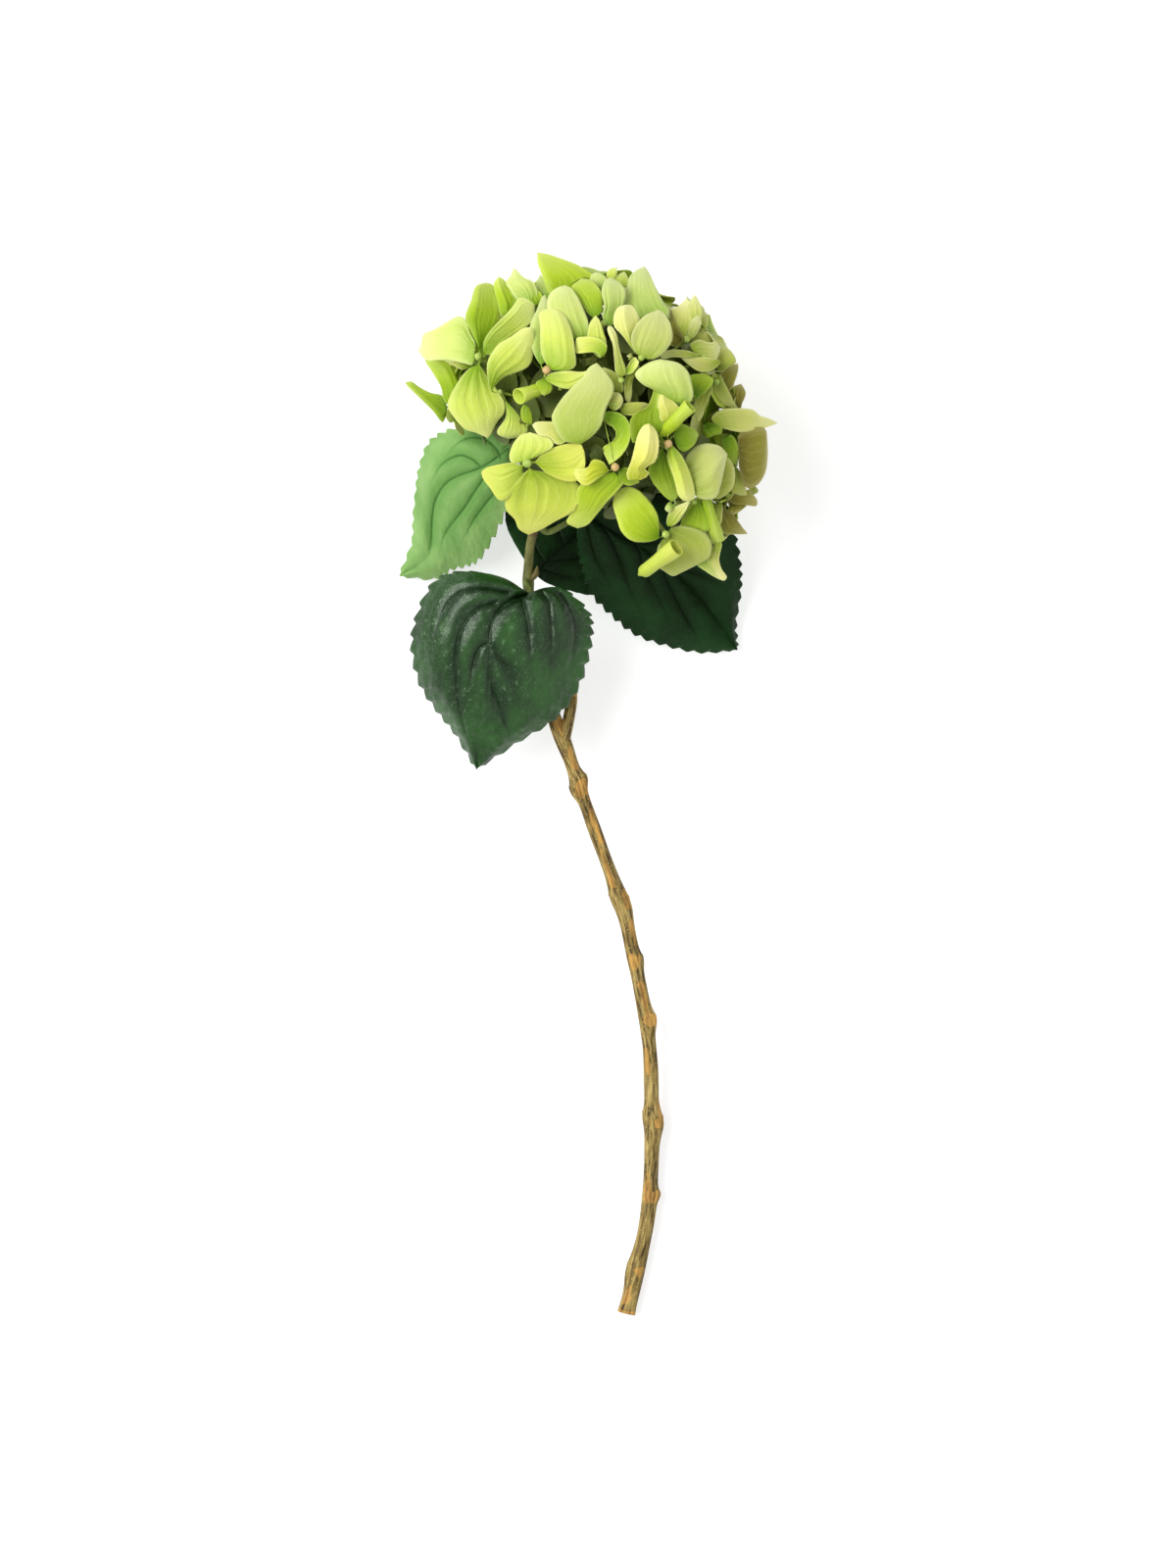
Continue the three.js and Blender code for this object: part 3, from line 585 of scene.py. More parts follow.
@dataclass(frozen=True)
class PeelingBark(Finish):
    """Two-year-old wood: olive bark with long dark cracks and pale flecks, and ochre where it has
    flaked off at the knots."""

    bark: str = "#85703A"
    crack: str = "#43341A"
    fleck: str = "#BCA463"
    ochre: str = "#CEA052"
    ochre_shade: str = "#7A5A2A"
    roughness: float = 0.72

    def shade(self, tree: bpy.types.NodeTree) -> bpy.types.NodeSocket:
        """Builds the nodes.

        Args:
            tree: the material's node tree.

        Returns:
            The shader's output.
        """
        place = add_node(tree, "ShaderNodeAttribute", attribute_name="place").outputs["Vector"]
        cell = add_node(tree, "ShaderNodeAttribute", attribute_name="flat").outputs["Vector"]
        bare = add_node(tree, "ShaderNodeSeparateXYZ", {0: place}).outputs[0]
        # Cracks 1.3 mm wide and ten times as long, flakes 6 mm across and flecks 1.8 mm apart.
        long = add_node(tree, "ShaderNodeMapping", {"Vector": cell, "Scale": (1.0, 1.0, 0.1)}).outputs[0]
        grain = add_node(
            tree, "ShaderNodeTexNoise", {"Vector": long, "Scale": 0.8, "Detail": 5.0, "Roughness": 0.65}
        ).outputs[0]
        cloud = add_node(
            tree, "ShaderNodeTexNoise", {"Vector": cell, "Scale": 0.16, "Detail": 6.0}
        ).outputs[0]
        flecks = add_node(
            tree, "ShaderNodeTexVoronoi", {"Vector": cell, "Scale": 0.55, "Randomness": 1.0}, feature="F1"
        ).outputs["Distance"]
        flecks = add_node(
            tree, "ShaderNodeMapRange", {0: flecks, 1: 0.12, 2: 0.24, 3: 0.75, 4: 0.0}
        ).outputs[0]
        body = add_node(
            tree,
            "ShaderNodeValToRGB",
            {0: grain},
            stops=[(0.4, linear(self.crack)), (0.66, linear(self.fleck)), (0.5, linear(self.bark))],
        ).outputs[0]
        body = add_node(
            tree, "ShaderNodeMix", {0: flecks, 6: body, 7: linear(self.fleck)}, data_type="RGBA"
        ).outputs[2]
        flake = add_node(
            tree, "ShaderNodeMath", {0: cloud, 1: 1.6, 2: -1.0}, operation="MULTIPLY_ADD"
        ).outputs[0]
        flake = add_node(tree, "ShaderNodeMath", {0: flake, 1: bare}, operation="ADD").outputs[0]
        flake = add_node(tree, "ShaderNodeMapRange", {0: flake, 1: 0.12, 2: 0.18, 3: 0.0, 4: 1.0}).outputs[0]
        wood = add_node(
            tree,
            "ShaderNodeValToRGB",
            {0: grain},
            stops=[(0.35, linear(self.ochre_shade)), (0.62, linear(self.ochre))],
        ).outputs[0]
        body = add_node(tree, "ShaderNodeMix", {0: flake, 6: body, 7: wood}, data_type="RGBA").outputs[2]
        step = add_node(
            tree, "ShaderNodeMath", {0: flake, 1: -0.7, 2: grain}, operation="MULTIPLY_ADD"
        ).outputs[0]
        bump = add_node(
            tree, "ShaderNodeBump", {"Strength": 0.8, "Distance": 0.0006, "Height": step}
        ).outputs[0]
        return add_node(
            tree,
            "ShaderNodeBsdfPrincipled",
            {"Base Color": body, "Roughness": self.roughness, "Normal": bump, "Specular IOR Level": 0.3},
        ).outputs[0]


@dataclass(frozen=True)
class StudioPaper(Finish):
    """Smooth matte background paper, lit from behind, so that shadows on it stay faint."""

    colour: str = "#BEBEBE"
    backlight: str = "#F6F6F6"
    glow: float = 0.7

    def shade(self, tree: bpy.types.NodeTree) -> bpy.types.NodeSocket:
        """Builds the nodes.

        Args:
            tree: the material's node tree.

        Returns:
            The shader's output.
        """
        return add_node(
            tree,
            "ShaderNodeBsdfPrincipled",
            {"Base Color": linear(self.colour), "Roughness": 0.9, "Specular IOR Level": 0.1,
             "Emission Color": linear(self.backlight), "Emission Strength": self.glow},
        ).outputs[0]


class Tint(Enum):
    """The colours of the sepals of one head: most are those that sepals turn as they age, from fresh to
    faded, and the darkest is painted shade for sepals that lie deep among the others.
    """

    FRESH = SepalTissue("sepal_tissue_fresh", "#82B00A", "#B6D42C", "#E0EE78", "#D0E25C")
    BUTTER = SepalTissue("sepal_tissue_butter", "#BCCB2E", "#E9EA78", "#F6F5A6", "#F0F096")
    LEMON = SepalTissue("sepal_tissue_lemon", "#98B81A", "#D4E254", "#EEF07A", "#E4EC80")
    LIME = SepalTissue("sepal_tissue_lime", "#93BE18", "#D8E862", "#F2F8A0", "#E8F290")
    GOLD = SepalTissue("sepal_tissue_gold", "#9DB816", "#D8E23A", "#F2F490", "#E6EA70")
    MINT = SepalTissue("sepal_tissue_mint", "#8EBA2A", "#D0E278", "#EAF3AC", "#E0EE9A")
    CREAM = SepalTissue("sepal_tissue_cream", "#A0BC2C", "#D8E07A", "#F0F2B0", "#E8EC9C")
    PALE = SepalTissue("sepal_tissue_pale", "#A4C638", "#D0DE76", "#E6EEA4", "#DCE894")
    # Painted shade: a dark tint that stands in for the shadow deep inside the head.
    PAINTED_SHADE = SepalTissue("sepal_tissue_painted_shade", "#303C0C", "#44521A", "#5C6A28", "#4C5A20", glow=0.1)
    OLIVE = SepalTissue("sepal_tissue_olive", "#7E9420", "#BECA55", "#DFE492", "#D0D984")
    GREEN = SepalTissue("sepal_tissue_green", "#5E8A0A", "#96B822", "#C6DE5E", "#ACCA40")
    BROWN = SepalTissue("sepal_tissue_brown", "#77741F", "#A8A53E", "#D2CB82", "#BFB868")


# In each leaf finish the second colour is painted shade in the creases. On the upper sides the third colour,
# for the veins, is darker painted shade too; the underside's paler veins are its own.
DARK_LEAF = LeafCuticle("leaf_cuticle_glossy")
LIGHT_LEAF = LeafCuticle(
    "leaf_cuticle_light", "#A0C878", "#78AA58", "#3E7430", roughness=0.45, gloss=0.0, specular=0.3,
    glow=0.12, blister=0.35,
)
# The leaves under the bloom: a darker green than the front leaf's, partly painted shade.
SHADE_LEAF = LeafCuticle(
    "leaf_cuticle_shaded", "#183A18", "#0D210B", "#0A1A08", roughness=0.42, gloss=0.0, specular=0.25,
    glow=0.03, blister=0.4,
)
STALK_SKIN = GreenBark("young_stalk_skin", "#73743A", "#444418", "#5E3626")
PEDICEL_SKIN = GreenBark("pedicel_skin", "#A9B85A", "#748A30", "#7A6A30")
EYE_SKIN = GreenBark("flower_bud_skin", "#BCD06A", "#93AE42", "#D2AA76", roughness=0.4)
CANE_BARK = PeelingBark("peeling_cane_bark")
UNDERSIDE = LeafCuticle(
    "leaf_underside", "#6F9058", "#5C7D48", "#8FAE78", roughness=0.6, gloss=0.0, specular=0.25, glow=0.15,
    blister=0.4,
)
PETIOLE_SKIN = GreenBark("petiole_skin", "#71823E", "#4E5E2A", "#7A4632")
BRANCHLET_SKIN = GreenBark("branchlet_skin", "#7C8A40", "#515E24", "#6A4A2C")


# ---------------------------------------------------------------- stem


STEM_LINE = Line(
    [
        [18, -421, 3.9], [22.4, -403, 4.5], [27.8, -377, 5.6], [29.4, -354, 6.6], [29.8, -330, 8],
        [28.8, -295, 11], [21.7, -255, 15], [14.8, -227, 18.5], [2, -191, 23], [-9, -159, 27],
        [-16.4, -140, 30], [-22.5, -116, 34], [-26.5, -93, 38.5], [-27.8, -75, 42], [-26, -58, 45.5],
        [-20, -42, 51], [-12, -22, 60],
    ]
)
STEM_LENGTH = float(STEM_LINE.even(1.0)[1])
# How thick the cane's top is, as a share of its radius.
TOP_TAPER = 0.82
# The first value of thin green rods, a faint tinge of the colour of their joints.
FAINT_TINGE = np.array([0.1, 0, 0])


@dataclass
class Cane:
    """The woody cane: a forked rod with knots where leaves once grew.

    Args:
        radius: of the cane, mm.
        woody_length: from the cut end to where it turns green, mm.
        fork: where the spur leaves it, from the cut end, mm.
        knots: distance from the cut end, height, half-length, and the side it stands out on, degrees.
        flakes: where bark has flaked off: distance, side in degrees, half-length, half-width in degrees.
        spur: the middle of the pruned spur.
        sides: points in a ring.
        rings: along the cane.
        spur_rings: along the spur.
    """

    radius: float = 3.4
    woody_length: float = 318
    fork: float = 278
    knots: list = field(
        default_factory=lambda: [
            [20, 1.3, 8, -90], [57, 1.4, 3, 80], [91, 2.3, 7, 85], [94, 1.1, 5, -90], [139, 1.7, 5, 85],
            [168, 1.3, 4, 40], [194, 1.7, 9, 85], [199, 0.9, 6, -90], [253, 1.9, 5, -80], [257, 2.1, 4, 90],
        ]
    )
    flakes: list = field(
        default_factory=lambda: [
            [0, 0, 3, 360], [8, -30, 9, 40], [21, 20, 5, 60], [57, 60, 6, 70], [60, -20, 9, 40],
            [91, 30, 5, 80], [97, 70, 14, 40], [118, -30, 12, 34], [139, 40, 6, 100], [148, 20, 18, 34],
            [168, -10, 10, 50], [180, 40, 20, 30], [196, 60, 10, 60], [215, -10, 18, 34], [236, 20, 16, 44],
            [254, 10, 10, 80], [268, 20, 14, 50], [284, 30, 9, 90], [296, -30, 14, 34],
        ]
    )
    spur: Line = field(
        default_factory=lambda: Line(
            [[-11.4, -153, 28.5], [-9, -142, 30.5], [-7.6, -132, 32], [-9, -121, 33]]
        )
    )
    sides: int = 44
    rings: int = 560
    spur_rings: int = 60

    def swelling(self, distance: Points, angle: Points) -> Points:
        """How far the knots swell the cane.

        Args:
            distance: from the cut end, mm.
            angle: round the cane, radians.

        Returns:
            The swelling for each distance and angle, mm.
        """
        total = np.zeros(np.broadcast_shapes(distance.shape, angle.shape))
        for middle, height, reach, side in self.knots:
            facing = (1 + np.cos(angle + math.radians(side))) / 2
            total += height * facing**2 * np.exp(-(((distance - middle) / reach) ** 2))
            # The scar of the leaf is a low rim across the knot.
            total += 0.28 * facing * np.exp(-(((distance - middle - 0.4 * reach) / 0.9) ** 2))
        return total

    def bare(self, distance: Points, angle: Points) -> Points:
        """How far the bark has flaked off.

        Args:
            distance: from the cut end, mm.
            angle: round the cane, radians.

        Returns:
            From 0 to about 1, for each distance and angle.
        """
        total = np.zeros(np.broadcast_shapes(distance.shape, angle.shape))
        for middle, side, reach, width in self.flakes:
            turn = np.abs((np.degrees(angle) + side + 180) % 360 - 180) / width
            off = ((distance - middle) / (0.55 * reach)) ** 2 + (1.3 * turn) ** 2
            total = np.maximum(total, 0.8 * np.exp(-off))
        return total

    def build(self) -> None:
        """Makes the cane and its spur, cut flat where they touch the surface."""
        line, distance = STEM_LINE.even(np.linspace(0, self.woody_length / STEM_LENGTH, self.rings))
        angle = ring_angles(self.sides)[None, :]
        d = distance[:, None]
        taper = np.interp(d, [0, self.woody_length], [1.08, TOP_TAPER])
        furrow = 0.1 * np.sin(5 * angle + 0.05 * d)
        furrow = furrow + 0.08 * np.sin(9 * angle - 0.03 * d + 2 * np.sin(0.06 * d))
        wave = 0.12 * np.sin(0.21 * d + 2 * angle) + 0.1 * np.sin(0.083 * d - angle)
        # The cane flares at its cut end and thickens where it forks.
        radius = self.radius * taper + 0.6 * np.exp(-d / 8) + self.swelling(d, angle)
        radius = radius + 0.9 * np.exp(-(((d - self.fork) / 9) ** 2)) + furrow + wave
        place = np.zeros((*radius.shape, 3))
        place[..., 0] = self.bare(d, angle)
        skin = Skin()
        skin.add_rod(line, distance, radius, self.sides, place)
        share = np.linspace(0, 1, self.spur_rings)
        line, distance = self.spur.even(share)
        # The spur ends in a callus round its bare cut.
        radius = 2.9 - 0.4 * share + 0.5 * np.exp(-(((share - 0.95) / 0.08) ** 2))
        place = np.zeros((self.spur_rings, self.sides, 3))
        place[..., 0] = 0.25 + 0.6 * (share[:, None] > 0.93)
        skin.add_rod(line, distance, radius, self.sides, place, 30)
        skin.piece("woody_cane_bark", CANE_BARK, "woody_cane", "bark")


@dataclass
class Shoot:
    """This year's green growth, which carries the leaves and the bloom.

    Args:
        radius: of the shoot, mm.
        start: where it begins, from the cane's cut end, mm, and the next three are measured so too.
        leaf_joints: the swollen places where leaves join it.
        reddish: the reddish places.
        bud: the place of a resting bud.
        sides: points in a ring.
    """

    radius: float = 2.1
    start: float = 318.3
    leaf_joints: tuple = (354, 384)
    reddish: tuple = (379, 386)
    bud: float = 356
    sides: int = 24

    def build(self) -> None:
        """Makes the shoot with its two swollen leaf joints and a resting bud at the lower one."""
        line, distance = STEM_LINE.even(np.linspace(self.start / STEM_LENGTH, 1, 240))
        cane_top = Cane.radius * TOP_TAPER
        radius = self.radius + (cane_top - self.radius) * np.exp(-(distance - self.start) / 12)
        for joint in self.leaf_joints:
            radius = radius + 0.6 * np.exp(-(((distance - joint) / 5) ** 2))
        warm = sum(np.exp(-(((distance - at) / 4) ** 2)) for at in self.reddish) * 0.7
        skin = Skin()
        place = np.zeros((len(line), self.sides, 3))
        place[..., 0] = np.clip(warm, 0, 1)[:, None]
        skin.add_rod(line, distance, radius, self.sides, place)
        root, _ = STEM_LINE.even(self.bud / STEM_LENGTH)
        bud = Line([root + [1, -1, 1], root + [3.4, 1.5, 1.6], root + [4.4, 5.5, 2]])
        line, distance = bud.even(np.linspace(0, 1, 20))
        radius = 1.5 * np.sin(math.pi * np.linspace(0.22, 0.985, 20)) ** 0.8
        skin.add_rod(line, distance, radius, 16, np.array([0.35, 0, 0]), 60)
        skin.piece("flower_stalk_skin", STALK_SKIN, "flower_stalk", "green_stem")


# ---------------------------------------------------------------- leaves


@dataclass
class Leaf:
    """A toothed leaf with its stalk. Its midrib and its two edges run from base to tip.

    Args:
        name: the solid that it stands for.
        joint: where its stalk leaves the stem, from the cane's cut end, mm.
        petiole: points that its stalk passes through, mm.
        base: where the blade begins, mm.
        tip: where it ends.
        midrib: points along its middle, between them.
        left: points along its left edge.
        right: points along its right edge.
        arch: how far each half bulges, mm.
        finish: its upper surface.
        slot: the record's material slot.
        veins: the main veins from above, the midrib first, mm.
        quilt: how deep the creases along the veins are, mm.
        crown: above 1 where each half bulges nearer its edge.
        teeth: how many each edge has.
        tooth: how far they stand out, mm.
        thickness: of the blade, mm.
        petiole_radius: of the stalk where it leaves the stem, mm.
        rows: of points from base to tip.
        columns: of points from edge to edge, an odd number.
        vein_width: how far a vein's colour reaches to each side, mm. On upper sides that colour is painted
            shade.
        crease_width: how far its crease reaches, mm, and with it the painted shade of the finish's second
            colour.
    """

    name: str
    joint: float
    petiole: list
    base: list
    tip: list
    midrib: list
    left: list
    right: list
    arch: float
    finish: LeafCuticle
    slot: str
    veins: list
    quilt: float = 1.4
    crown: float = 1.0
    teeth: int = 18
    tooth: float = 2.2
    thickness: float = 0.5
    petiole_radius: float = 1.6
    rows: int = 230
    columns: int = 141
    vein_width: float = 0.6
    crease_width: float = 3

    def __post_init__(self) -> None:
        """Draws the lines of the midrib and of both edges."""
        self.middle_line, self.left_line, self.right_line = (
            Line([self.base, *points, self.tip]) for points in (self.midrib, self.left, self.right)
        )

    def ribs(self, point: Points, t: Points) -> tuple[Points, Points]:
        """The veins of the blade.

        Args:
            point: places on the blade, rows by columns by 3, mm.
            t: how far each is from midrib to edge.

        Returns:
            How near each place is to a vein, and how deep it lies in the crease there, both 0 to 1.
        """
        share = np.linspace(0, 1, 170)
        flat = point[..., :2].reshape(-1, 2)
        near, dip = np.zeros(len(flat)), np.zeros(len(flat))
        for i, vein in enumerate(self.veins):
            # The midrib stays deep nearly to its end. The other veins fade earlier.
            fade = smooth(1.0, 0.45 if i else 0.8, share)
            for spot, depth in zip(Line(vein).at(share), fade):
                gap = np.hypot(flat[:, 0] - spot[0], flat[:, 1] - spot[1])
                near = np.maximum(near, depth**0.5 * np.exp(-((gap / self.vein_width) ** 2)))
                dip = np.maximum(dip, depth * np.exp(-gap / self.crease_width))
        rim = smooth(1.0, 0.85, t)
        return near.reshape(point.shape[:2]) * rim, dip.reshape(point.shape[:2]) * rim

    def surface(self, u: Points, v: Points) -> tuple[Points, Points, Points]:
        """The middle surface of the blade.

        Args:
            u: places from base to tip.
            v: places from right edge, -1, to left edge, 1.

        Returns:
            The points, the veins and the creases, each rows by columns.
        """
        t = np.abs(v)[None, :]
        row = u[:, None]
        middle = self.middle_line.at(u)[:, None]
        right, left = self.right_line.at(u)[:, None], self.left_line.at(u)[:, None]
        edge = np.where((v < 0)[None, :, None], right, left)
        outward = edge - middle
        # Each tooth rises slowly and falls fast towards the tip.
        part = (row * self.teeth) % 1
        saw = np.where(part < 0.78, (part / 0.78) ** 0.8, (1 - part) / 0.22)
        saw = saw * (row < 0.985) * smooth(0.1, 0.35, row)
        point = middle + outward * t[..., None]
        point = point + unit(outward) * (self.tooth * (saw - 0.3) * t**9)[..., None]
        ribs, dip = self.ribs(point, t)
        swell = np.sin(math.pi * t**self.crown) * self.arch * np.sin(math.pi * np.clip(row, 0, 1)) ** 0.5
        wave = 0.9 * t**3 * np.sin(9 * row + 2.2 * np.sign(v)[None, :] + self.joint)
        point[..., 2] += swell + self.quilt * (0.6 - dip - 0.25 * ribs) + wave
        return point, ribs, dip

    def build(self) -> None:
        """Makes the blade, and the stalk that goes on under it as its rib."""
        points, ribs, dip = self.surface(np.linspace(0, 1, self.rows), np.linspace(-1, 1, self.columns))
        # The second value is 1 less the depth of the crease; the finish paints shade with it.
        place = np.stack([ribs, 1 - dip, np.zeros_like(ribs)], -1)
        half_way, centre = self.rows // 2, self.columns // 2
        middle = points[:, centre]
        across = np.cumsum(np.linalg.norm(np.diff(points, axis=1), axis=2), 1)
        across = np.concatenate([np.zeros((self.rows, 1)), across], 1)
        across = across - across[:, centre][:, None]
        along = np.linalg.norm(np.diff(middle, axis=0), axis=1)
        along = np.concatenate([[0], np.cumsum(along)])[:, None]
        flat = np.stack([across, np.broadcast_to(along, across.shape), np.full_like(across, self.joint)], -1)
        # The order of the points is turned where the upper side would look down.
        sideways = points[half_way, centre + 24] - points[half_way, centre - 24]
        upward = np.cross(sideways, middle[half_way + 15] - middle[half_way - 15])[2] > 0
        order = slice(None) if upward else slice(None, None, -1)
        skin = Skin()
        skin.add(points[:, order], place[:, order], flat[:, order])
        skin.piece(f"{self.name}_blade", self.finish, self.name, self.slot, self.thickness, UNDERSIDE)
        root, _ = STEM_LINE.even(self.joint / STEM_LENGTH)
        places = np.array([0, 0.2, 0.4, 0.6, 0.8])
        under = 0.65 * self.quilt + self.thickness / 2 + self.petiole_radius * (1.1 - 0.6 * places)
        rib = self.middle_line.at(places) - under[:, None] * UP
        share = np.linspace(0, 1, 140)
        line, distance = Line([root, *self.petiole, *rib.tolist()]).even(share)
        radius = self.petiole_radius * (1 - 0.72 * share**0.8)
        skin = Skin()
        skin.add_rod(line, distance, radius, 14, FAINT_TINGE, self.joint)
        skin.piece(f"{self.name}_stalk", PETIOLE_SKIN, self.name, "green_stem")


LEAVES = [
    Leaf(
        name="leaf_front", joint=354, petiole=[[-29, -79.5, 46.5]],
        base=[-27.2, -84.3, 50], tip=[-52, -165.7, 30],
        midrib=[[-36.8, -89.8, 55], [-43.3, -96, 57], [-45.6, -109, 57], [-47, -126.6, 52],
                [-48.8, -145, 44]],
        left=[[-40, -76.5, 52], [-58, -74, 50], [-71, -79, 45], [-79, -94, 41], [-81.5, -109, 39],
              [-77.8, -126, 37], [-69.5, -139, 36], [-61, -150, 34]],
        right=[[-18.9, -81.5, 50], [-10.6, -82.5, 48], [-0.5, -92.5, 45], [1.4, -101, 43], [-0.5, -114, 41],
               [-6, -129.5, 40], [-16.6, -142.7, 39], [-33, -153, 36]],
        arch=6, finish=DARK_LEAF, slot="leaf", quilt=2.0, crown=1.3, teeth=19,
        veins=[
            [[-28, -85], [-36, -87.5], [-42, -93], [-45, -100], [-45.6, -108], [-46, -122], [-48, -142]],
            [[-45.5, -123], [-43, -132], [-39, -143], [-35.5, -152.5]],
            [[-45.6, -107.5], [-50, -109.5], [-52.5, -115], [-54.5, -124], [-58, -140]],
            [[-43, -88.5], [-50, -91], [-55, -95], [-58.5, -101], [-60.5, -108], [-62, -116]],
            [[-58, -99], [-61, -109], [-61.5, -122], [-59, -140], [-54, -157]],
            [[-30.5, -87], [-28.5, -95], [-27.2, -103], [-26.6, -111], [-25, -130]],
            [[-21, -84], [-18, -89], [-17.2, -97], [-16.8, -104], [-17, -115], [-18.5, -130]],
            [[-45, -108], [-41, -114.5], [-37, -120], [-34.5, -127], [-32, -140]],
            [[-13, -84], [-8, -92], [-6, -104], [-8, -118]],
            [[-37, -84], [-50, -82], [-62, -86], [-69, -97], [-73, -112]],
        ],
    ),
    Leaf(
        name="leaf_left", joint=388, petiole=[[-24, -42, 46]],
        base=[-35.9, -14.5, 46], tip=[-88.4, -75, 4],
        midrib=[[-46, -21.5, 46], [-57, -21.5, 42], [-65.4, -29, 36], [-70.9, -41.4, 28],
                [-73.2, -57.5, 18], [-76.5, -68, 11]],
        left=[[-44.7, -6.8, 41], [-56.2, -6.4, 36], [-66.3, -8.7, 31], [-74, -13.8, 27], [-78.3, -24.4, 23],
              [-80.1, -34.5, 19], [-81.5, -48.3, 14], [-82.4, -60.3, 9]],
        right=[[-35.5, -25.3, 42], [-36.4, -36.8, 37], [-39.1, -46, 31], [-44.7, -57.5, 24],
               [-51.1, -67.2, 18], [-57, -70, 14], [-64.5, -71.8, 10], [-72, -76, 6]],
        arch=3, finish=LIGHT_LEAF, slot="pale_leaf", quilt=1.3,
        veins=[
            [[-37, -17], [-45, -23], [-52, -26.5], [-60, -29], [-66, -32.5], [-70.5, -39], [-72.5, -47],
             [-73.3, -60], [-75, -68]],
            [[-40.5, -21], [-42.5, -17], [-47, -13], [-53, -11.5], [-60, -14], [-68, -22]],
            [[-50, -25], [-54, -21.5], [-60, -20], [-68, -24], [-74, -34]],
            [[-46, -27], [-53, -37], [-58, -44.5], [-66.5, -55.5], [-69, -64]],
            [[-40, -33], [-48, -42.5], [-53.5, -50], [-59, -60]],
        ],
    ),
    Leaf(
        name="leaf_right", joint=383, petiole=[[-19, -55.6, 44.5], [-11, -52, 42]],
        base=[-1.4, -46, 38], tip=[70, -109.6, 3],
        midrib=[[8.3, -53.4, 35], [22.6, -61, 29], [38, -72, 21], [51, -85, 13], [62, -98, 7]],
        left=[[13, -36.8, 34], [27.6, -36.8, 30], [46, -40, 25], [62.2, -47, 19], [68.1, -56.2, 15],
              [70.9, -70, 11], [71.2, -82, 8], [69, -98, 5]],
        right=[[-5.5, -52.5, 36], [-4.6, -62.2, 31], [-2.3, -71.4, 26], [1.8, -83.3, 21], [11.5, -93.5, 16],
               [22.6, -102.2, 11], [36.8, -107.3, 7], [53, -110.5, 4.5]],
        arch=4, finish=SHADE_LEAF, slot="leaf", quilt=2.0, teeth=22,
        veins=[
            [[0, -47], [8.3, -53.4], [22.6, -61], [38, -72], [51, -84], [64, -101]],
            [[-1, -48], [0.5, -56], [2.5, -64], [6, -72], [14, -86]],
            [[5, -50], [10, -58], [15, -69], [19, -80], [27, -97]],
            [[16, -56], [23, -62], [26, -72], [33, -86], [42, -103]],
            [[33, -68], [38, -80], [47, -97], [52, -105]],
            [[22, -61], [35, -60], [50, -60], [62, -62]],
            [[38, -72], [50, -74], [64, -80]],
        ],
    ),
    Leaf(
        name="leaf_back", joint=358, petiole=[[-26.5, -76, 35]],
        base=[-24.5, -75, 31], tip=[16, -36, 6],
        midrib=[[-17, -67, 24], [-8, -59, 16], [2, -51, 10], [10, -43, 7]],
        left=[[-31, -66, 28], [-38, -52, 22], [-37.5, -41, 15], [-30, -32, 9], [-14, -27.5, 6],
              [4, -30, 5]],
        right=[[-19, -79, 27], [-8, -82.5, 21], [4, -84, 15], [14, -77, 10], [20, -62, 7], [20.5, -47, 6]],
        arch=2, finish=SHADE_LEAF, slot="leaf", quilt=1.4, tooth=0.3,
        veins=[
            [[-24, -74], [-17, -67], [-8, -59], [2, -51], [12, -41]],
            [[-22, -72], [-12, -75.5], [0, -76.5]],
            [[-19, -68.5], [-10, -68], [0, -67], [10, -66]],
            [[-20, -70], [-26, -58], [-27, -46]],
            [[-11, -61], [-15, -50], [-15, -40]],
        ],
    ),
]


# ---------------------------------------------------------------- bloom

BLOOM_MIDDLE = np.array([0, -3.4, 67])


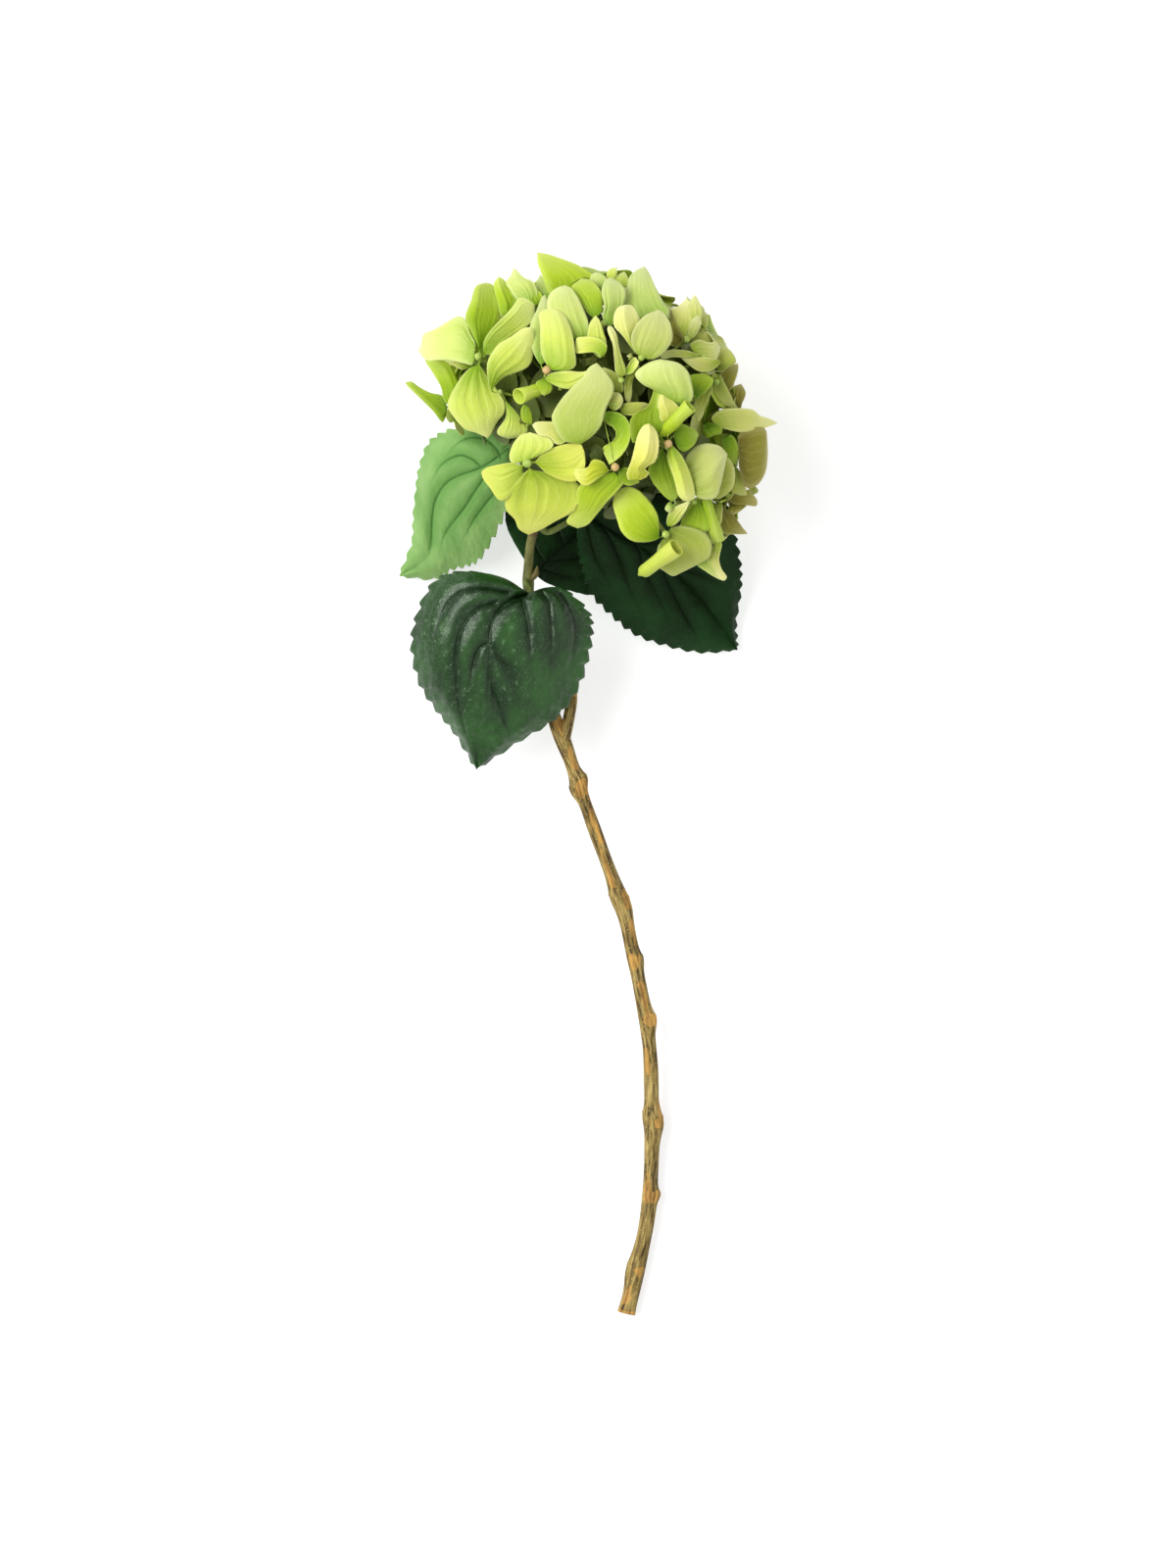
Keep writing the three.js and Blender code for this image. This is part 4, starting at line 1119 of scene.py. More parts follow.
@dataclass
class Sepal:
    """One sepal of a floret.

    Args:
        tip: its far end, mm.
        width: where it is widest, mm.
        bow: how far its middle stands out from the straight line between eye and tip, mm.
        cup: the angle that each half turns up to its edge, degrees, or down where it is below 0.
        tint: its colour.
        point: 0 for a round tip, 1 for a pointed one.
        ruffle: how far its edges wave, mm.
        mesh_rows: rows of points from eye to tip.
        mesh_columns: points from edge to edge.
    """

    tip: Points
    width: float
    bow: float
    cup: float
    tint: Tint
    point: float
    ruffle: float = 0.7
    mesh_rows: int = 23
    mesh_columns: int = 15

    def lay(self, skin: Skin, eye: Points, facing: Points, floor: float) -> None:
        """Adds the sepal to a skin.

        Args:
            skin: gathers the sepals of one tint.
            eye: the middle of its floret, mm.
            facing: the way that the floret looks.
            floor: the lowest height that it may reach, mm.
        """
        seed = chance(*self.tip)
        rows, columns = self.mesh_rows, self.mesh_columns
        # Rows are closest at the tip, where the outline turns most.
        s = (1 - (1 - np.linspace(0, 1, rows)) ** 1.6)[:, None]
        v = np.linspace(1, -1, columns)[None, :]
        t = np.abs(v)
        run = self.tip - eye
        length = np.linalg.norm(run)
        away = unit(facing - run * facing.dot(run) / length**2)
        sideways = unit(np.cross(away, run))
        outline = s ** (0.75 - 0.15 * self.point) * (1 - s ** (3 - self.point)) ** (0.5 + 0.4 * self.point)
        outline = outline / outline.max()
        # The two halves differ a little, and the edges are scalloped.
        lean = 1 + 0.16 * (seed - 0.5) * np.sign(v) * np.sin(math.pi * s)
        scallop = 1 + 0.03 * t**4 * np.sin(11 * s + 9 * seed + 2 * np.sign(v))
        half = self.width / 2 * outline * lean * scallop
        turn = math.radians(self.cup if abs(self.cup) > 0.5 else 0.5)
        across = np.sign(v) * half * np.sin(turn * t) / turn
        rise = half * (1 - np.cos(turn * t)) / turn
        rise = rise + self.ruffle * t**3 * outline * np.sin(2 * math.pi * (1.7 * s + seed) + 1.9 * np.sign(v))
        # The midrib is a shallow groove.
        rise = rise - 0.4 * np.exp(-((t * half / 1.2) ** 2)) * s**0.3 * (1 - s)
        rise = rise + 4 * self.bow * s * (1 - s)
        twist = math.radians(9) * s * math.sin(math.pi * seed)
        flatwise = sideways * np.cos(twist)[..., None] + away * np.sin(twist)[..., None]
        outwards = away * np.cos(twist)[..., None] - sideways * np.sin(twist)[..., None]
        grid = eye + run * s[..., None] + flatwise * across[..., None] + outwards * rise[..., None]
        grid[..., 2] = np.maximum(grid[..., 2], floor)
        along = np.broadcast_to(s, grid.shape[:2])
        side = np.broadcast_to(v, grid.shape[:2])
        place = np.stack([along, side, np.full_like(along, seed)], -1)
        flat = np.stack([side * half, along * length, np.full_like(along, 50 * seed)], -1)
        skin.add(grid, place, flat)


# The spot straight under the camera, from which things higher up look further away, mm.
LENS_SPOT = np.array([0.0, -172.64])
LENS_HEIGHT = 4000.0


def seen_at(points: Points) -> Points:
    """Points whose x and y are where they show on the surface, moved to where they really are.

    Args:
        points: one or more, mm.

    Returns:
        The moved points, mm.
    """
    made = np.array(points, float)
    made[..., :2] = LENS_SPOT + (made[..., :2] - LENS_SPOT) * (1 - made[..., 2:] / LENS_HEIGHT)
    return made


@dataclass
class Drawn:
    """A sepal given by its two edges, as they show from straight above.

    Args:
        claw: its narrow end, mm.
        tip: its far end, mm.
        one: points along one edge, from claw to tip, mm.
        other: points along the other edge.
        tint: its colour.
        bow: how far its middle stands out above the straight line from claw to tip, mm.
        droop: how much both edges hang below its middle.
        tilt: how far the first edge stands above the other, mm.
        keel: height of a fold from claw to tip, mm.
        keel_at: where the fold is, from the other edge, -1, to the first, 1.
        pleat: depth of the furrows that fan out from the claw, mm.
        hang: how far the edges hang for each 1 of droop, mm.
        mesh_rows: rows of points from claw to tip.
        mesh_columns: points from edge to edge.
    """

    claw: tuple
    tip: tuple
    one: list
    other: list
    tint: Tint
    bow: float = 3
    droop: float = 2
    tilt: float = 0
    keel: float = 0
    keel_at: float = 0
    pleat: float = 0.3
    hang: float = 0.55
    mesh_rows: int = 32
    mesh_columns: int = 21

    def lay(self, skin: Skin, eye: Points) -> None:
        """Adds the sepal to a skin.

        Args:
            skin: gathers the sepals of one tint.
            eye: the middle of its floret, where it shows, mm.
        """
        seed = chance(*self.claw)
        claw, tip = np.array(self.claw, float), np.array(self.tip, float)
        # A sepal whose claw is away from the eye starts with a narrow strip from the eye.
        root = [eye[:2]] if np.linalg.norm(claw - eye) > 2 else []
        s = (0.5 - 0.5 * np.cos(math.pi * np.linspace(0, 1, self.mesh_rows)))[:, None]
        v = np.linspace(-1, 1, self.mesh_columns)[None, :]
        edges = [Line([*root, claw[:2], *edge, tip[:2]]).even(s[:, 0])[0] for edge in (self.other, self.one)]
        plane = edges[0][:, None] * (1 - v[..., None]) / 2 + edges[1][:, None] * (1 + v[..., None]) / 2
        stem = np.linalg.norm(claw[:2] - eye[:2]) if root else 0.0
        length = stem + np.linalg.norm(tip[:2] - claw[:2])
        part = stem / length
        u = np.clip((s - part) / (1 - part), 0, 1)
        full = np.sin(math.pi * u) ** 0.6
        if root:
            height = np.interp(s, [0, part, 1], [eye[2], claw[2], tip[2]])
        else:
            height = np.interp(s, [0, 1], [claw[2], tip[2]])
        sag = self.hang * self.droop * v**2 * full
        height = height + 4 * self.bow * u * (1 - u) - sag + self.tilt * v * full
        height = height + self.keel * (1 - np.abs(v - self.keel_at)) * full
        wave = np.sin(2 * math.pi * (2.1 * s + seed) + 2 * v)
        height = height + 0.5 * v**4 * full * wave
        fan = np.cos(2 * math.pi * (3.2 * v + 0.6 * np.sin(3 * v + 7 * seed)))
        height = height + self.pleat * fan * full * smooth(1.0, 0.35, u)
        grid = seen_at(np.concatenate([plane, np.broadcast_to(height, plane.shape[:2])[..., None]], -1))
        half = np.linalg.norm(edges[1] - edges[0], axis=1)[:, None] / 2
        shape = grid.shape[:2]
        place = np.stack([np.broadcast_to(u, shape), np.broadcast_to(v, shape), np.full(shape, seed)], -1)
        flat = np.stack([v * half, np.broadcast_to(s * length, shape), np.full(shape, 50 * seed)], -1)
        skin.add(grid, place, flat)


@dataclass
class Rolled:
    """A sepal that is rolled up lengthwise like a scroll.

    Args:
        claw: one end of the roll, mm, where it shows from above.
        tip: its other end.
        start: its radius at the claw, mm.
        end: its radius at the tip.
        tint: its colour.
        seam: the side where its edges overlap, degrees from straight up.
        mesh_rows: rows of points from claw to tip.
        mesh_columns: points round the roll.
    """

    claw: tuple
    tip: tuple
    start: float
    end: float
    tint: Tint
    seam: float
    mesh_rows: int = 34
    mesh_columns: int = 33

    def lay(self, skin: Skin, eye: Points) -> None:
        """Adds the roll to a skin.

        Args:
            skin: gathers the sepals of one tint.
            eye: the middle of its floret, where it shows, mm.
        """
        seed = chance(*self.claw)
        claw, tip = seen_at(self.claw), seen_at(self.tip)
        s = np.linspace(0, 1, self.mesh_rows)[:, None]
        v = np.linspace(-1, 1, self.mesh_columns)[None, :]
        run = unit(tip - claw)
        side = unit(np.cross(run, UP))
        up = np.cross(side, run)
        # It goes round a little more than once, and its outer edge lies over its inner one.
        angle = math.radians(self.seam) + 1.12 * math.pi * v + 0.25 * s
        radius = self.start + (self.end - self.start) * s - 0.7 * self.start * (1 - smooth(0, 0.14, s))
        radius = radius * (1 + 0.09 * v) * (1 + 0.05 * np.sin(9 * s + 7 * seed))
        slip = np.linalg.norm(tip - claw) * s + 1.6 * (s - 0.5) * np.cos(math.pi * v)
        middle = claw + run * slip[..., None] + up * (1.2 * np.sin(math.pi * s))[..., None]
        ring = up * np.cos(angle)[..., None] + side * np.sin(angle)[..., None]
        grid = middle + ring * radius[..., None]
        shape = grid.shape[:2]
        along = 0.3 + 0.5 * np.broadcast_to(s, shape)
        place = np.stack([along, np.broadcast_to(v, shape), np.full(shape, seed)], -1)
        flat = np.stack([3 * radius * v, slip, np.full(shape, 50 * seed)], -1)
        skin.add(grid, place, flat)


@dataclass
class Floret:
    """Sepals round an eye, on a thin pedicel.

    Args:
        eye: its middle, mm.
        facing: the way that it looks.
        sepals: those of a floret that isn't drawn.
        floor: the lowest height that they may reach, mm.
        bead: the radius of the eye, mm.
        warm: whether the eye has turned pinkish.
        shows: where the eye of a drawn floret shows, mm.
        drawn: the sepals of a drawn floret.
    """

    eye: Points
    facing: Points
    sepals: list
    floor: float = 2.5
    bead: float = 1.9
    warm: bool = False
    shows: tuple = ()
    drawn: tuple = ()

    @staticmethod
    def shown(eye: tuple, bead: float, *drawn: "Drawn | Rolled", warm: bool = False) -> "Floret":
        """A floret that shows from above.

        Args:
            eye: where its eye shows, mm.
            bead: the radius of the eye, mm.
            *drawn: its sepals.
            warm: whether the eye has turned pinkish.

        Returns:
            The floret.
        """
        place = seen_at(eye)
        facing = unit(unit(place - BLOOM_MIDDLE) + UP)
        return Floret(place, facing, [], bead=bead, warm=warm, shows=eye, drawn=drawn)


# In the order that Tint lists them.
FRESH, BUTTER, LEMON, LIME, GOLD, MINT, CREAM, PALE, PAINTED_SHADE, OLIVE, GREEN, BROWN = Tint

SHOWN_FLORETS = [
    # The open floret low on the left.
    Floret.shown(
        (-28.3, -21.8, 120), 2.1,
        Drawn((-28.5, -20.5, 120.5), (-27, -7.5, 121), [(-35, -22), (-37, -19), (-35.5, -13.5), (-32, -9)],
              [(-22.5, -18), (-16.3, -14), (-18, -10.3), (-22.5, -8.8)], LIME, 1, 1, -1),
        Drawn((-31, -23, 120), (-50, -26, 110), [(-36, -21.8), (-42, -22.6), (-47.5, -24)],
              [(-31, -29), (-36, -37), (-41.5, -39.6), (-46, -33.5), (-49, -29.5)],
              LEMON, 2, 0, 1, pleat=0.5),
        Drawn((-25, -21.5, 120.5), (-1.8, -16.5, 121),
              [(-21, -17.3), (-14, -13.9), (-8, -12.6), (-3.5, -13)],
              [(-19, -27), (-10, -30.5), (-4, -29.5), (-1.3, -23)], LEMON, 1, 0, 0, pleat=0.6),
        Drawn((-27.5, -24.5, 120), (-28, -55.4, 100),
              [(-33, -29), (-38.5, -36.5), (-38.5, -43.7), (-34.5, -48.2), (-32.5, -52.8)],
              [(-17, -27), (-7.5, -29), (-3.4, -34), (-4, -40), (-7, -44.8), (-15, -49), (-22, -53)],
              LEMON, 5, 1, 0, pleat=0.6),
    ),
    # The floret beside it, with a sepal curled like a C.
    Floret.shown(
        (12.6, -23.6, 121), 1.9,
        Drawn((12, -26, 119), (-5, -52.4, 102),
              [(8, -27), (0, -29), (-5, -34), (-5.5, -40), (-8.5, -46), (-10, -49.8)],
              [(17, -30), (13.5, -35.5), (9, -40), (4, -46), (0, -50.6)], FRESH, 5, 2, 2),
        Drawn((10, -25.5, 121), (-6.4, -26.5, 122), [(7, -21.3), (2.5, -20.3), (-0.3, -24), (-5.3, -24.4)],
              [(5, -29), (-1, -32.5), (-5, -30)], GOLD, 1, 0, 0, 1.5),
        Drawn((7.5, -1, 119), (10, -22.7, 120),
              [(8.5, 2.2), (14, 2), (18.5, -1.2), (20, -7), (19, -13), (15.5, -18.5)],
              [(8.5, -3.3), (11.5, -4.8), (13.5, -8), (12, -11.5), (9, -13.3), (6.4, -15), (8, -18.5)],
              FRESH, 0, -2.5, 1.5),
        Drawn((14, -25.5, 119), (24, -31, 113), [(18, -24), (23, -27)], [(15, -30), (19, -32.5)], GREEN),
        warm=True,
    ),
    # The open floret high on the left.
    Floret.shown(
        (-51, 28, 104), 1.9,
        Drawn((-53.5, 29, 104), (-79.8, 31, 86),
              [(-53, 34.5), (-55.7, 40), (-57.7, 45.6), (-60.5, 47.2), (-64.5, 45.4), (-69, 42.6),
               (-73, 40.5), (-77.2, 38.6), (-78.3, 34)],
              [(-54, 24.3), (-58, 24.8), (-64, 26.1), (-70, 26.5), (-76, 26.6)], MINT, 4, 2.5, -1),
        Drawn((-51, 32, 102), (-48, 62.8, 88), [(-55, 40), (-57.7, 46.2), (-55, 54), (-52.7, 61)],
              [(-46, 38), (-41.5, 46), (-42.5, 54), (-44.5, 61.3)], FRESH, 3, 0, 0, 4, 0.62),
        Drawn((-49.3, 30, 103), (-25, 52.5, 107),
              [(-48.6, 36), (-44.5, 42), (-39, 47.5), (-35, 52), (-32.3, 55.9), (-28.5, 55.2)],
              [(-45.5, 29), (-41, 34), (-36.5, 37), (-31, 40.5), (-27.3, 43.5), (-25.3, 47.5)],
              LIME, 2, 0, 0.5, 1.5, 0.5),
        Drawn((-51, 24.5, 103), (-47, -10, 98),
              [(-56, 22.3), (-61, 16.5), (-66, 6), (-62.5, -1), (-58, -5.8), (-52.5, -7.6)],
              [(-47.5, 19), (-43, 13), (-39, 6.5), (-39.3, 1.6), (-43, -3), (-45.5, -8)],
              LIME, 5, 3, 1, pleat=0.35),
    ),
    # A pale sepal that leans on it, with a thin twisted end.
    Floret.shown(
        (-41, 11.5, 104), 1.2,
        Drawn((-45.2, 12, 110), (-26.5, 41.8, 119),
              [(-47.2, 19), (-46.8, 26.5), (-42, 33.8), (-36.5, 37.2), (-30.5, 41.3)],
              [(-40, 18.2), (-33, 21), (-27.5, 24), (-25.3, 31), (-25.4, 38)], LIME, 4, 4, 2),
        Drawn((-39, 8, 103), (-37, -10.5, 98), [(-38.5, 0), (-42.8, -7.5)], [(-31, -1), (-28, -8)],
              LIME, 3, 2),
        Drawn((-30, 8, 106), (-27, -4, 104), [(-31.5, 3), (-30.8, -2)], [(-23, 7), (-22, 0), (-23, -3)],
              GREEN),
    ),
    # The orange-eyed floret near the middle, one sepal of it rolled up.
    Floret.shown(
        (-19.3, 21.6, 122), 2.0,
        Drawn((-17.5, 22, 123), (-17.3, 51.4, 113), [(-20.5, 26), (-22.3, 32), (-22.5, 42), (-22.8, 48.5)],
              [(-11, 21.3), (-5.9, 23.4), (-5.8, 29), (-7.2, 38.5), (-10, 46), (-13.5, 50)],
              LIME, 5, 3, -1, 2, -0.5),
        Drawn((-20.5, 18.3, 123), (1.5, 22.3, 126), [(-16.5, 20.6), (-9, 21.3), (-2.5, 21)],
              [(-17, 15.4), (-12, 13.3), (-8, 13.2), (-3, 16.8)], LIME, 1, -1, 0, 1.2),
        Drawn((-22, 24, 119), (-20.3, 57, 105), [(-26, 31), (-27.2, 42.5), (-24.3, 49.5), (-21.9, 55.5)],
              [(-13, 32), (-13, 42), (-17.8, 52)], MINT, 4, 2),
        Rolled((-20.5, 13.6, 116), (-32.6, 9.6, 123), 2.4, 3.4, FRESH, 150),
        Drawn((-21, 18, 122), (-20.5, 9.9, 121), [(-24.2, 16), (-24, 12)], [(-16.8, 15), (-17.5, 11.5)],
              FRESH, 1, 3),
        warm=True,
    ),
    # The large pale sepal in the middle and the flat one beside it.
    Floret.shown(
        (-4, -15.5, 119), 1.6,
        Drawn((-3.5, -13, 122), (3.9, 25.2, 126),
              [(-12, -11), (-16.8, -2.5), (-16.6, 1.5), (-12.6, 8), (-8, 13.3), (-2.5, 18.5), (0.3, 22.8)],
              [(2, -9.2), (6.3, -4), (8, 2), (9.5, 6), (11.9, 11), (11.9, 15.5), (9, 19.7), (6.2, 23)],
              PALE, 4, 2, 2, pleat=0),
        Drawn((-9, -10, 123), (-26.2, -4, 123), [(-12, -3), (-18, -2.4), (-24, -2.5)],
              [(-11, -12.4), (-15, -13.1), (-17.5, -10.3), (-20.3, -9.4), (-23.5, -8.4)], CREAM, 0, 1, 0),
        # A small sepal in the tint of painted shade.
        Drawn((1, -15, 119), (6, -21, 117), [(4, -13), (7, -16)], [(1, -19), (3, -21)], PAINTED_SHADE),
    ),
    # Sepals at the top of the head.
    Floret.shown(
        (-20, 53, 97), 1.6,
        Drawn((-16, 56, 97), (-23.9, 76.9, 84), [(-18.5, 58), (-21.7, 66.7), (-23.6, 72)],
              [(-4, 57), (4, 61), (3.5, 66), (0, 68.2), (-5, 71.2), (-12, 73.9), (-19, 76.2)],
              FRESH, 2, 0, 2, 2, 0.6),
        Drawn((-27, 53, 99), (-35, 69.8, 88), [(-33, 54.5), (-36.7, 59.5), (-38.6, 63), (-36.3, 66)],
              [(-23.8, 57), (-24.4, 61), (-26.3, 63.6), (-30, 65.2), (-33, 68.3)],
              MINT, 2, 0, 0, 1.5, -0.2),
        Drawn((-19, 55, 98), (-22.6, 66.6, 86), [(-23.8, 58), (-24, 63)], [(-17, 59), (-20, 64)],
              MINT, 1, 1),
        Drawn((-25, 52, 100), (-27.5, 60, 95), [(-30, 56)], [(-21, 54), (-22.5, 58.5)], FRESH, 1, 1),
    ),
    Floret.shown(
        (-36.5, 48, 96), 1.6,
        Drawn((-37.5, 49, 97), (-42, 65.6, 87), [(-41, 47.5), (-42.6, 54), (-44.3, 61.5)],
              [(-34, 53.5), (-36.3, 58.5), (-39.2, 63.8)], FRESH, 1, 0, 0, 3, 0.1),
        Drawn((-37, 46, 95), (-33, 57, 92), [(-40, 51)], [(-31, 48), (-30, 53)], GREEN),
    ),
    Floret.shown(
        (-2, 34, 117), 1.6,
        Drawn((-4, 36, 118), (-11, 61.5, 107), [(-15, 40), (-19, 50), (-18.4, 56.7), (-15.2, 60)],
              [(0, 38), (0.4, 43), (-1.5, 49), (-4.5, 55.5), (-7.8, 60)], MINT, 4, 3, 1),
        Drawn((2.6, 30, 121), (3.6, 47.4, 115), [(-0.3, 34), (0, 40), (1, 44)],
              [(8.6, 33), (7.2, 40), (5.5, 45)], LIME, 2, 1),
        Drawn((6, 27.5, 123), (-5.8, 33.5, 121), [(8.9, 33.5), (4, 37.1), (-2, 37.4), (-5.3, 36.8)],
              [(3.5, 30), (-1, 29.9), (-5.5, 29.7)], LIME, 1, 1),
    ),
    Floret.shown(
        (7.5, 43.5, 111), 1.6,
        Drawn((3, 46, 111), (-3, 64.8, 99), [(-0.5, 49), (-3.5, 54), (-6.7, 57.5), (-7.7, 61)],
              [(6.5, 49), (7, 54), (5.7, 59.5), (2, 63.6)], FRESH, 3, 2),
        Drawn((8.5, 57, 100), (3.3, 67.5, 92), [(5, 58.5), (1.2, 62.3), (1.4, 66)],
              [(9.5, 61), (8.5, 65.2), (6, 67.1)], MINT, 1, 1),
        Drawn((10, 42.6, 113), (11, 65, 100), [(6.8, 46.5), (7.6, 52.5), (6.4, 58.5), (8, 64)],
              [(13.8, 45), (16.7, 52), (17.8, 58.2), (15.3, 62.3)], MINT, 3, 0, 0, 1.5, 0.3, 0.5),
        Drawn((11, 60, 97), (11.8, 69.9, 88), [(8.8, 65.5), (9.6, 68.6)], [(13.4, 66.5), (13.4, 69.3)],
              LIME, 1, 1),
        Drawn((15, 58, 98), (16.9, 67.9, 87), [(12.2, 63), (13.8, 66.2)], [(19, 62), (18.4, 66)],
              LIME, 1, 1),
    ),
    # The right half of the top.
    Floret.shown(
        (33, 43, 108), 1.6,
        Drawn((29, 46, 108), (26.5, 70.4, 91), [(20, 47), (17.1, 53), (18.2, 59), (19.2, 65), (22.5, 68.5)],
              [(36, 46.5), (38.6, 49.5), (35.6, 53.5), (32, 60.2), (28.8, 67.2)], MINT, 4, 2),
        Drawn((45, 36.5, 106), (39, 50.4, 99), [(38.5, 33), (38.5, 42)], [(43.5, 40), (41, 45)],
              BROWN, 1, 1),
    ),
    Floret.shown(
        (25, 27.5, 121), 1.6,
        Drawn((23, 29, 121), (17.8, 52.4, 116),
              [(18.5, 35), (15.5, 38.8), (12.5, 42), (12.1, 47), (14, 51.1)],
              [(22, 36), (24, 42), (24.4, 45.5), (22.6, 49.5), (20.8, 51.9)], CREAM, 2, 0, 1, 3, 0.1),
        Drawn((25.2, 27.6, 121), (33, 50, 115), [(21.6, 31.5), (20.2, 37), (22.5, 43), (27, 47.6)],
              [(31.2, 27), (36.6, 31), (39.7, 36.5), (38.9, 43), (36, 48)], CREAM, 4, 0, 1, 1),
        Drawn((17.5, 20.5, 122), (23.9, 25.6, 123), [(18.8, 24), (21.8, 27.9)], [(20.5, 20.3), (22.8, 23)],
              LIME, 0, -2),
        Drawn((19, 26.5, 121), (18.3, 28.4, 121), [(20.5, 29.6), (19.5, 29.2)], [(22.5, 27.6), (20, 27.4)],
              CREAM),
    ),
    Floret.shown(
        (15.5, 17, 121), 1.4,
        Drawn((15.8, 18.5, 123), (9.8, 42.6, 120), [(13, 21), (12.3, 28), (11.7, 33.5), (9.2, 40.5)],
              [(18, 21), (16.2, 27), (14.4, 33), (13.6, 38), (11.6, 41.8)], CREAM, 2, 0, 0, 1.6, 0.2),
        Drawn((17, 16, 120), (19.5, 6, 115), [(18.5, 20), (24.3, 24.3), (21, 17), (20.5, 10)],
              [(17, 12), (17.6, 8)], OLIVE, 0, 1),
    ),
    Floret.shown(
        (46, 36, 104), 1.6,
        Drawn((45.5, 37.3, 105), (46.3, 55.4, 91), [(42, 41), (39.2, 45.5), (38.2, 50.2), (42, 51.4)],
              [(47.5, 41.5), (49.5, 46), (48.5, 53)], CREAM, 2, 1),
        Drawn((49.5, 42, 102), (50.4, 57.1, 89), [(48.2, 46), (46, 50.5), (48.2, 54.6)],
              [(52.6, 45), (53.7, 49.5), (52.3, 53.5)], CREAM, 2, 2),
        Drawn((46.5, 35, 105), (51.8, 47.6, 99), [(47.1, 41), (49.2, 45.8)], [(50.7, 38.5), (53.3, 44)],
              CREAM, 2, 2),
        Drawn((51, 39, 100), (55.6, 48.7, 87), [(52, 43), (52.5, 47.5)], [(55.3, 41), (56.5, 46.5)],
              OLIVE, 1, 1),
        Drawn((47, 34.6, 103), (58, 38, 90), [(50, 38.7), (55, 40.3)], [(53, 35), (57.5, 34.4)],
              OLIVE, 2, 2),
    ),
    # The ruffled pale floret on the right.
    Floret.shown(
        (54, 27.5, 103), 1.4,
        Drawn((50, 30.5, 105), (62, 32.3, 95), [(48, 33.8), (52, 36.2), (57, 34.7), (60, 35.2)],
              [(52, 27.5), (57, 26.4), (60.3, 27), (61.7, 30.3)], CREAM, 2, 1, pleat=0.5),
        Drawn((52.5, 28.5, 106), (33, 29.2, 112), [(47, 30.8), (42, 31.3), (37.5, 31)],
              [(47, 27.4), (42, 28), (38.5, 27.7), (35.3, 27.1)], CREAM, 1, 1),
        Drawn((62, 26.3, 101), (44, 27.3, 107), [(57, 27.6), (50, 28)],
              [(60, 23), (56, 21), (52, 21.2), (47.5, 24.2)], CREAM, 1, 2, 1, pleat=0.4),
        Drawn((61, 21, 96), (64.3, 33, 86), [(59.8, 26), (61.6, 31.2)],
              [(66.2, 23.3), (69.5, 25.5), (67.7, 29.9)], OLIVE, 2, 2),
    ),
    # The big mint sepal right of the middle.
    Floret.shown(
        (40, 5, 117), 1.5,
        Drawn((38.5, 7, 119), (34, 26.8, 124),
              [(31, 12.4), (25.3, 15.4), (22, 19.8), (25.4, 23.4), (30, 25.8)],
              [(46, 5.5), (49.5, 9.5), (48.6, 16), (47, 21), (42.5, 25)], MINT, 6, 5, 1),
        Drawn((50, 8, 110), (55, 20.2, 102), [(47.5, 13), (47.5, 19)], [(56, 12), (59, 17)], GREEN, 1, 1),
        Drawn((17, 2, 117), (29, 5, 116), [(16, 5.5), (20, 6.6), (27, 6.4)], [(19, 0.5), (24, 1)], OLIVE),
    ),
    # The floret with a sepal rolled to a bright tube.
    Floret.shown(
        (37.3, -12.7, 121), 1.9,
        Drawn((31, -8, 119), (32.3, 15.6, 121),
              [(22, -13), (19.8, -7), (20, -1.5), (22.6, 1.7), (27, 3.6), (29.6, 8), (31, 12.5)],
              [(36, -6), (36, 0), (34, 7), (34, 12)], GREEN, 2, -2, 1),
        Drawn((38, -3, 121), (35.3, 12.8, 121), [(34.5, -2.5), (32.6, 4), (33.4, 9.5)],
              [(43.5, 2.5), (39.5, 8), (36.9, 11.4)], BUTTER, 1, 0, 0, 2, 0.2),
        Drawn((22, -29.5, 120), (28.6, -3.4, 125),
              [(18, -27.5), (20.3, -21), (22, -14), (23.5, -8.5), (26, -4.4)],
              [(29.2, -27.3), (26.5, -24), (31.5, -21.3), (33.3, -15), (32.9, -9), (31, -5.4)],
              BUTTER, 4, 0, 0, 4, -0.1),
        Rolled((34, -9, 116), (47.8, 5.2, 126), 2.4, 3.2, FRESH, 320),
        Drawn((40, -9, 117), (51.9, -8.7, 110), [(43, -3.5), (47.5, -4.8), (50.5, -6.5)],
              [(42, -14.5), (45, -16.5), (49.5, -13.8)], GREEN, 2, 1),
        warm=True,
    ),
    Floret.shown(
        (37, -14.5, 117), 1.2,
        Drawn((34.5, -14.5, 117), (39.5, -40, 105), [(33, -19), (28.3, -24.5), (30.3, -30.5), (35, -36.6)],
              [(38.5, -21), (41.5, -30), (42.3, -37)], GREEN, 3, 1, 1),
        Drawn((39, -13.5, 119), (47.5, -39.7, 108),
              [(37.2, -19), (40.3, -29), (42.3, -36.5), (44.7, -39.2)],
              [(43.7, -18), (47.2, -25), (49.5, -32), (50.1, -38)], LIME, 3, 0, 0, 5, 0.1),
        Drawn((41, -41, 104), (37, -44.5, 103), [(38.5, -40), (36.2, -43)], [(40, -43.5), (38.5, -45)],
              MINT),
    ),
    # The round two-toned sepal low on the right, and its neighbour.
    Floret.shown(
        (52, -27, 103), 1.2,
        Drawn((48, -29, 107), (65.4, -17.7, 102), [(45.8, -20), (50, -14.4), (56, -12.7), (61.7, -13.9)],
              [(50.3, -36.8), (55, -39.1), (60.2, -38.2), (62.2, -33), (63.8, -25)],
              CREAM, 4, 0, 0, 4, -0.25),
        Drawn((58, -30, 97), (69, -28, 91), [(62, -20), (66, -19.6), (68.6, -24)],
              [(60, -38.6), (64.7, -37), (68.2, -33)], OLIVE, 3, 2),
    ),
    Floret.shown(
        (60, 16, 97), 1.4,
        Drawn((61.5, 20, 97), (70.2, 3.5, 86), [(58.4, 15.5), (58.3, 11), (61.5, 6.6), (66, 4.6)],
